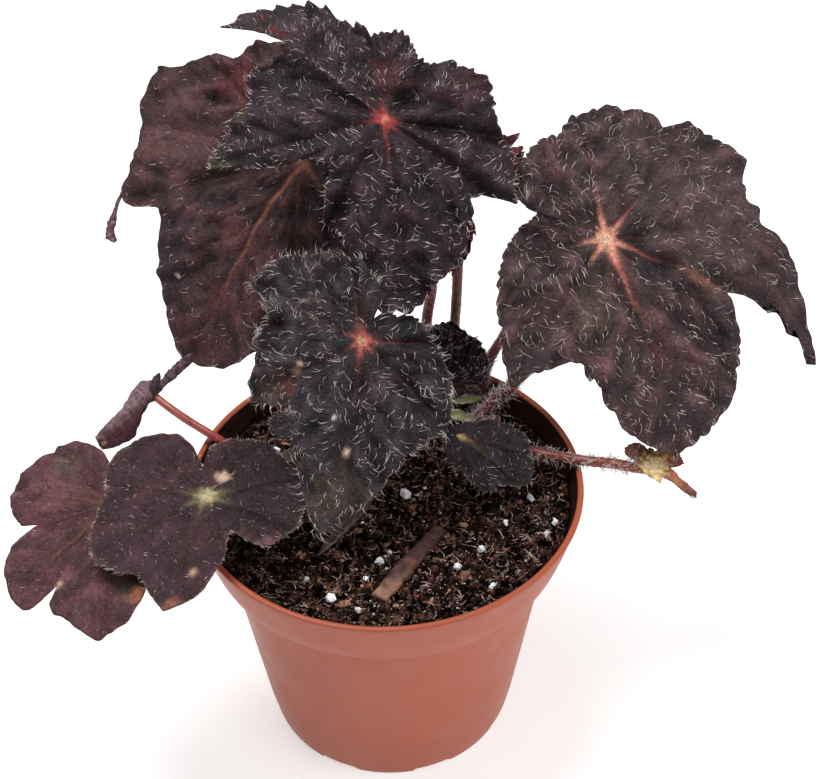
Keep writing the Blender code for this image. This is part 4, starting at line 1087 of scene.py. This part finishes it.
def dry_tip():
    """The dry curled tip of the leaf behind at the left, along (direction, reach) on its blade.

    It lies 2 + 0.7 (reach / 45)^2 below the hub, as the blade droops there.
    """
    lobe = LEAVES["leaf_back_left"]
    way = np.array([(175.3, 66.6), (177.5, 68), (179.6, 69.3), (181.6, 70.4), (183.4, 71.6), (185.1, 72.6),
                    (187.1, 73), (188.8, 71.8)], float)
    flat = hoops(way[:, 1], np.radians(way[:, 0]), -2.0 - 0.7 * (way[:, 1] / 45) ** 2)
    lying("leaf_back_left_tip", lobe["hub"] + flat @ turn_of(lobe).T,
          [0.4, 0.8, 0.7, 1.0, 1.7, 1.5, 1.8, 0.8], [0.3, 0.4, 0.4, 0.6, 0.9, 0.9, 1.0, 0.5],
          14, 10, STALK_SKIN, plain_paint((88, 58, 60), 0.5, 1.6, 9), 0.16, 2.0, "leaf_back_left")


def on_the_soil():
    """The knotted stem, the two scale leaves, the withered leaf and the bark chip."""
    lying("creeping_stem", [(-34, 12, 90.2), (-16, 18, 90.2), (4, 28, 90.2), (22, 34.5, 90.2)],
          [2.2, 4.2, 4.4, 4.6, 4.4, 4.6, 3.0], [1.8, 3.2, 3.4, 3.6, 3.4, 3.6, 2.4],
          24, 14, DULL_SKIN, plain_paint((84, 62, 54), 0.4, 4.0, 3, (60, 44, 40)), 0.12)
    lying("stipule_upper", [(31, 36.4, 94.6), (26.5, 34.8, 95.2), (21.5, 33.2, 94.9)],
          [0.3, 1.8, 2.3, 1.9, 0.6], [0.15, 0.5, 0.6, 0.5, 0.2],
          16, 12, STALK_SKIN, plain_paint((98, 98, 62), 0.3, 2.0, 4, (122, 120, 84)), 0.1)
    lying("stipule_lower", [(18.5, 31.0, 93.8), (22.6, 28.2, 94.3), (27.6, 25.9, 93.4)],
          [0.3, 2.0, 2.5, 1.9, 0.5], [0.15, 0.5, 0.6, 0.5, 0.2],
          16, 12, STALK_SKIN, plain_paint((108, 108, 70), 0.3, 2.0, 5, (136, 132, 94)), 0.1)
    lying("old_leaf", [(-4, -1.6, 87.5), (-12, -13, 87.6), (-20.5, -26, 87.2)],
          [0.6, 2.0, 2.2, 1.7, 0.25], [0.4, 1.2, 1.3, 0.9, 0.15],
          20, 16, STALK_SKIN, plain_paint((74, 48, 54), 0.4, 2.4, 6, (56, 38, 40)), 0.14)
    lying("bark_chip", [(16, -16, 88.0), (7, -29.5, 88.0), (-2, -43.5, 88.0)],
          [2.1, 2.4, 2.5, 2.8, 2.9, 2.6], [0.9, 1.3, 1.5, 1.6, 1.5, 1.0],
          14, 16, DULL_SKIN, chip_paint, 0.12, 5.0)


def pot():
    """The pot turned round its axis from a fine profile, its base ring lifted at the foot notches."""
    profile = np.array(POT_PROFILE, float)
    fine = [profile[:1]]
    for a, b in zip(profile, profile[1:]):
        parts = max(1, int(np.linalg.norm(b - a) / 5))
        fine.append(a + (b - a) * (np.arange(1, parts + 1) / parts)[:, None])
    profile = np.concatenate(fine)[1:-1]
    radius, height = profile[:, :1], profile[:, 1:]
    turn = full_turn(POT_SIDES)
    off = (np.degrees(turn) + 90 - NOTCH_START + NOTCH_STEP / 2) % NOTCH_STEP - NOTCH_STEP / 2
    lift = NOTCH_LIFT * (1 - smooth(np.abs(off), 8.2, 9.2))
    outside = np.arange(len(profile))[:, None] > len(profile) / 2
    foot = outside & (radius > 34.3) & (height < 1.6)
    height = np.where(foot, np.maximum(height, lift), height)
    points, faces = closed_tube(hoops(radius, turn, height), flip=True)
    # Painted shade: the inner wall and the floor inside, up to just below the rim, are painted dark as they
    # lie in shade.
    shaded_inside = np.arange(len(profile)) < np.argmax(profile[:, 1]) - 2
    unshaded = np.append(np.repeat(~shaded_inside, POT_SIDES), [False, True])[:, None] * np.ones(3)
    pierce(put("pot_shell", points, faces, pot_finish(), ("pot",), unshaded))


def pierce(shell):
    """Cuts the four round drain holes through the pot's floor."""
    parts = []
    for at in np.radians(DRAIN_PLACES):
        middle = hoops(DRAIN_REACH, at, 0)
        ends = np.array(DRAIN_SPAN)[:, None]
        parts.append(closed_tube(middle + hoops(DRAIN_RADIUS, full_turn(40), ends)))
    points, faces = gathered(parts)
    mesh = bpy.data.meshes.new("drains")
    mesh.from_pydata((points * MM).tolist(), [], [face.tolist() for group in faces for face in group])
    drains = bpy.data.objects.new("drains", mesh)
    bpy.context.scene.collection.objects.link(drains)
    cut = shell.modifiers.new("drains", "BOOLEAN")
    cut.object = drains
    cut.solver = "EXACT"
    done = bpy.data.meshes.new_from_object(shell.evaluated_get(bpy.context.evaluated_depsgraph_get()))
    shell.modifiers.clear()
    shell.data = done
    bpy.data.objects.remove(drains)


def soil_relief(flat):
    """Clods a few millimetres across with sharp gaps between them, under finer crumbs."""
    clods = 1.9 * (np.abs(swell(flat, 4.2, 24)) ** 0.6 - 0.55)
    clods = clods + 0.9 * (np.abs(swell(flat, 2.4, 25)) ** 0.7 - 0.5)
    return clods + 0.5 * swell(flat, 6.0, 21) + 0.35 * swell(flat, 1.5, 22)


def soil_height(x, y):
    """Gently lumpy soil as in the CAD, with the relief on it up to near its edge.

    It is the soil's level + 0.7 times a sum of sines, one of them a product of two, over 1.6 and held
    within -1 to 1.
    """
    broad = np.sin(0.31 * x + 1.1) * np.sin(0.27 * y) + 0.6 * np.sin(0.63 * x - 0.41 * y + 2)
    broad = broad + 0.5 * np.sin(0.5 * y + 0.9 * x)
    height = SOIL_LEVEL + 0.7 * np.clip(broad / 1.6, -1, 1)
    return height + soil_relief(np.stack([x, y], -1)) * (1 - smooth(np.hypot(x, y), 54, 55.6))


def soil():
    """Polar grid of the soil's top, then down its side to the floor, closed below."""
    turn = full_turn(SOIL_SIDES)
    radius = np.linspace(0.5, SOIL_EDGE, SOIL_RINGS)[:, None]
    x, y = radius * np.cos(turn), radius * np.sin(turn)
    top = np.stack([x, y, soil_height(x, y)], -1)
    down = np.array([(53.2, 76.2), (49.8, 74.0), (38.2, 3.6), (1.0, 3.6)])
    points, faces = closed_tube(np.concatenate([top, hoops(down[:, :1], turn, down[:, 1:])]), flip=True)
    points[-2, 2] = soil_height(0.0, 0.0)
    # The peat has painted highlight specks (glint 0.22).
    peat = painted("peat", 0.95, 1100.0, (0.7, 0.95), 0.04, (1400.0, 0.9, 0.0012), 0.22)
    flat = points[:, :2]
    # Painted shade: near black where the relief is low, in the gaps between clods, and brown on the clods'
    # tops, more so in broad random patches.
    high = smooth(soil_relief(flat), -0.5, 1.4) * np.clip(0.55 + 0.6 * swell(flat, 7.0, 41), 0.1, 1.3)
    put("soil_body", points, faces, peat, ("soil",), blend(tint(2, 1, 1), (112, 78, 66), high))
    random = np.random.default_rng(31)
    crumbs(random)
    fibres(random)
    perlite(random)


def ball():
    """The twelve corners and twenty faces of an icosahedron of radius 1."""
    g = (1 + math.sqrt(5)) / 2
    corners = np.array([
        (-1, g, 0), (1, g, 0), (-1, -g, 0), (1, -g, 0), (0, -1, g), (0, 1, g),
        (0, -1, -g), (0, 1, -g), (g, 0, -1), (g, 0, 1), (-g, 0, -1), (-g, 0, 1),
    ]) / math.hypot(1, g)
    faces = np.array([
        (0, 11, 5), (0, 5, 1), (0, 1, 7), (0, 7, 10), (0, 10, 11), (1, 5, 9), (5, 11, 4), (11, 10, 2),
        (10, 7, 6), (7, 1, 8), (3, 9, 4), (3, 4, 2), (3, 2, 6), (3, 6, 8), (3, 8, 9), (4, 9, 5),
        (2, 4, 11), (6, 2, 10), (8, 6, 7), (9, 8, 1),
    ])
    return corners, faces


def scattered(random, count, inner=0.0, outer=54.5):
    """Points on the soil, even by area: the radius is the root of an even draw of its square."""
    radius = np.sqrt(random.uniform(inner ** 2, outer ** 2, count))
    turn = random.uniform(0, TAU, count)
    return radius * np.cos(turn), radius * np.sin(turn)


def lumps(x, y, sizes, random, sink=0.3, squash=0.75, stretch=0.2):
    """Angular lumps at places on the soil: icosahedra with corners moved in or out, turned at random."""
    corners, faces = ball()
    count = len(x)
    own = corners * random.uniform(0.7, 1.25, (count, len(corners), 1))
    own = own * random.uniform(1 - 0.6 * stretch, 1 + 0.9 * stretch, (count, 1, 3))
    spin = random.uniform(0, TAU, (count, 1))
    cos, sin = np.cos(spin), np.sin(spin)
    turned = np.stack([
        own[..., 0] * cos - own[..., 1] * sin, own[..., 0] * sin + own[..., 1] * cos, own[..., 2] * squash,
    ], -1)
    centre = np.stack([x, y, soil_height(x, y) + sizes * sink], -1)
    points = centre[:, None] + turned * sizes[:, None, None]
    return points.reshape(-1, 3), [(faces + np.arange(count)[:, None, None] * len(corners)).reshape(-1, 3)]


def crumbs(random):
    """Crumbs of peat, few large and many small, most nearly black and in patches brown.

    With u drawn evenly from 0 to 1, the size is 0.22 + 0.75 u^4.
    """
    crumb = painted("crumb", 0.7, 800.0, (0.75, 0.95), 0.05, (1500.0, 0.9, 0.0008))
    x, y = scattered(random, CRUMBS)
    sizes = 0.22 + 0.75 * random.uniform(0, 1, CRUMBS) ** 4
    patch = 0.75 + 0.9 * swell(np.stack([x, y], -1), 7.0, 41)
    brown = np.clip(random.uniform(0, 1, CRUMBS) ** 3.5 * patch * (1.2 - 0.6 * sizes), 0, 1)
    shade = blend(tint(4, 2, 2), (172, 126, 104), brown)
    points, faces = lumps(x, y, sizes, random, stretch=1.5)
    paint = np.repeat(shade, len(points) // CRUMBS, 0)
    put("soil_crumbs", points, faces, crumb, paint=paint, flat=True)


def fibres(random):
    """Short curved fibres and rootlets lying over the soil in tufts, dark to pale brown.

    With u drawn evenly from 0 to 1, the length is 0.9 + 4.2 u^3.
    """
    fibre = painted("fibre", 0.4, 300.0, (0.6, 0.8), 0.3)
    x, y = scattered(random, 2 * FIBRES)
    wanted = swell(np.stack([x, y], -1), 9.0, 42) + random.normal(0, 0.7, 2 * FIBRES)
    keep = np.argsort(-wanted)[:FIBRES]
    x, y = x[keep], y[keep]
    root = np.stack([x, y, soil_height(x, y) + random.uniform(0.1, 1.1, FIBRES)], -1)
    heading = 2.6 * swell(np.stack([x, y], -1), 11.0, 43) + random.normal(0, 0.7, FIBRES)
    ahead = np.stack([np.cos(heading), np.sin(heading), random.normal(0, 0.3, FIBRES)], -1)
    beside = np.stack([-np.sin(heading), np.cos(heading), random.normal(0, 0.3, FIBRES)], -1)
    lengths = 0.9 + 4.2 * random.uniform(0, 1, FIBRES) ** 3
    points, faces = strands(root, ahead, beside, lengths, FIBRE_WIDTH, random, (0.1, 0.9), 3)
    shade = blend(tint(40, 28, 25), (236, 202, 182), random.uniform(0, 1, FIBRES) ** 2)
    put("soil_fibres", points, faces, fibre, paint=np.repeat(shade, len(points) // FIBRES, 0))


def perlite(random):
    """White perlite: the grains that the CAD fuses to the soil, and small ones between them."""
    x, y, size = np.array(GRAINS, float).T
    grains = lumps(x, y, size * 0.95, random, 0.45, 0.9)
    x, y = scattered(random, SMALL_GRAINS, 8, 53)
    small = lumps(x, y, random.uniform(0.22, 0.6, SMALL_GRAINS), random, 0.5)
    points, faces = gathered([grains, small])
    put("perlite_grains", points, faces, perlite_finish(), flat=True)


def plant():
    """The leaves with their hairs, the stalks, and what lies on the soil."""
    for name, spec in LEAVES.items():
        if "margin" in spec:
            leaf(name)
            leaf_hairs(name)
    rolled_leaf()
    for name in STALKS:
        stalk(name)
    dry_tip()
    on_the_soil()


def surroundings():
    """A plain pale floor that glows a little, as a lit table does, and a pale sky."""
    mesh = bpy.data.meshes.new("floor")
    side = 3.0
    corners = [(-side, -side, 0), (side, -side, 0), (side, side, 0), (-side, side, 0)]
    mesh.from_pydata(corners, [], [(0, 1, 2, 3)])
    floor = bpy.data.objects.new("floor", mesh)
    bpy.context.scene.collection.objects.link(floor)
    material = bpy.data.materials.new("floor")
    material.use_nodes = True
    set_inputs(material.node_tree.nodes["Principled BSDF"], {
        "Base Color": (0.8, 0.8, 0.8, 1), "Roughness": 0.9, "Specular IOR Level": 0.1,
        "Emission Color": (1, 1, 1, 1), "Emission Strength": 0.5,
    })
    mesh.materials.append(material)
    world = bpy.data.worlds.new("sky")
    world.use_nodes = True
    set_inputs(world.node_tree.nodes["Background"], {"Color": (1, 1, 1, 1), "Strength": 0.3})
    bpy.context.scene.world = world


def lamp(name, place, aim, size, power):
    """A round area lamp at a place in metres, its -Z turned toward another place."""
    data = bpy.data.lights.new(name, "AREA")
    data.shape = "DISK"
    data.size = size
    data.energy = power
    made = bpy.data.objects.new(name, data)
    made.location = place
    way = np.array(aim, float) - np.array(place, float)
    tilt = math.atan2(math.hypot(way[0], way[1]), -way[2])
    made.rotation_euler = tilt, 0, math.atan2(way[1], way[0]) - math.pi / 2
    bpy.context.scene.collection.objects.link(made)


def camera():
    """The photograph's view: a 72 mm lens at (8, -363, 438) mm, 40.5 degrees down, rolled 0.9 degrees."""
    data = bpy.data.cameras.new("camera")
    data.lens = 72.13
    data.sensor_width = 36
    made = bpy.data.objects.new("camera", data)
    place = (0.0079, -0.3626, 0.4384)
    down, roll = math.radians(40.46), math.radians(-0.9)
    level = np.array([1.0, 0, 0])
    ahead = np.array([0, math.cos(down), -math.sin(down)])
    upright = np.array([0, math.sin(down), math.cos(down)])
    right = math.cos(roll) * level + math.sin(roll) * upright
    above = -math.sin(roll) * level + math.cos(roll) * upright
    matrix = np.eye(4)
    matrix[:3] = np.stack([right, above, -ahead, place], -1)
    made.matrix_world = Matrix(matrix.tolist())
    bpy.context.scene.collection.objects.link(made)
    bpy.context.scene.camera = made


def main():
    """Camera and light, the pot, the soil and the plant."""
    camera()
    surroundings()
    lamp("key", (-0.3, 0.15, 1.15), (0, 0, 0.12), 0.7, 13)
    lamp("fill", (0.85, -0.5, 0.75), (0, 0, 0.1), 1.0, 7)
    bpy.context.scene.view_settings.view_transform = "Standard"
    bpy.context.scene.view_settings.look = "None"
    pot()
    soil()
    plant()


main()
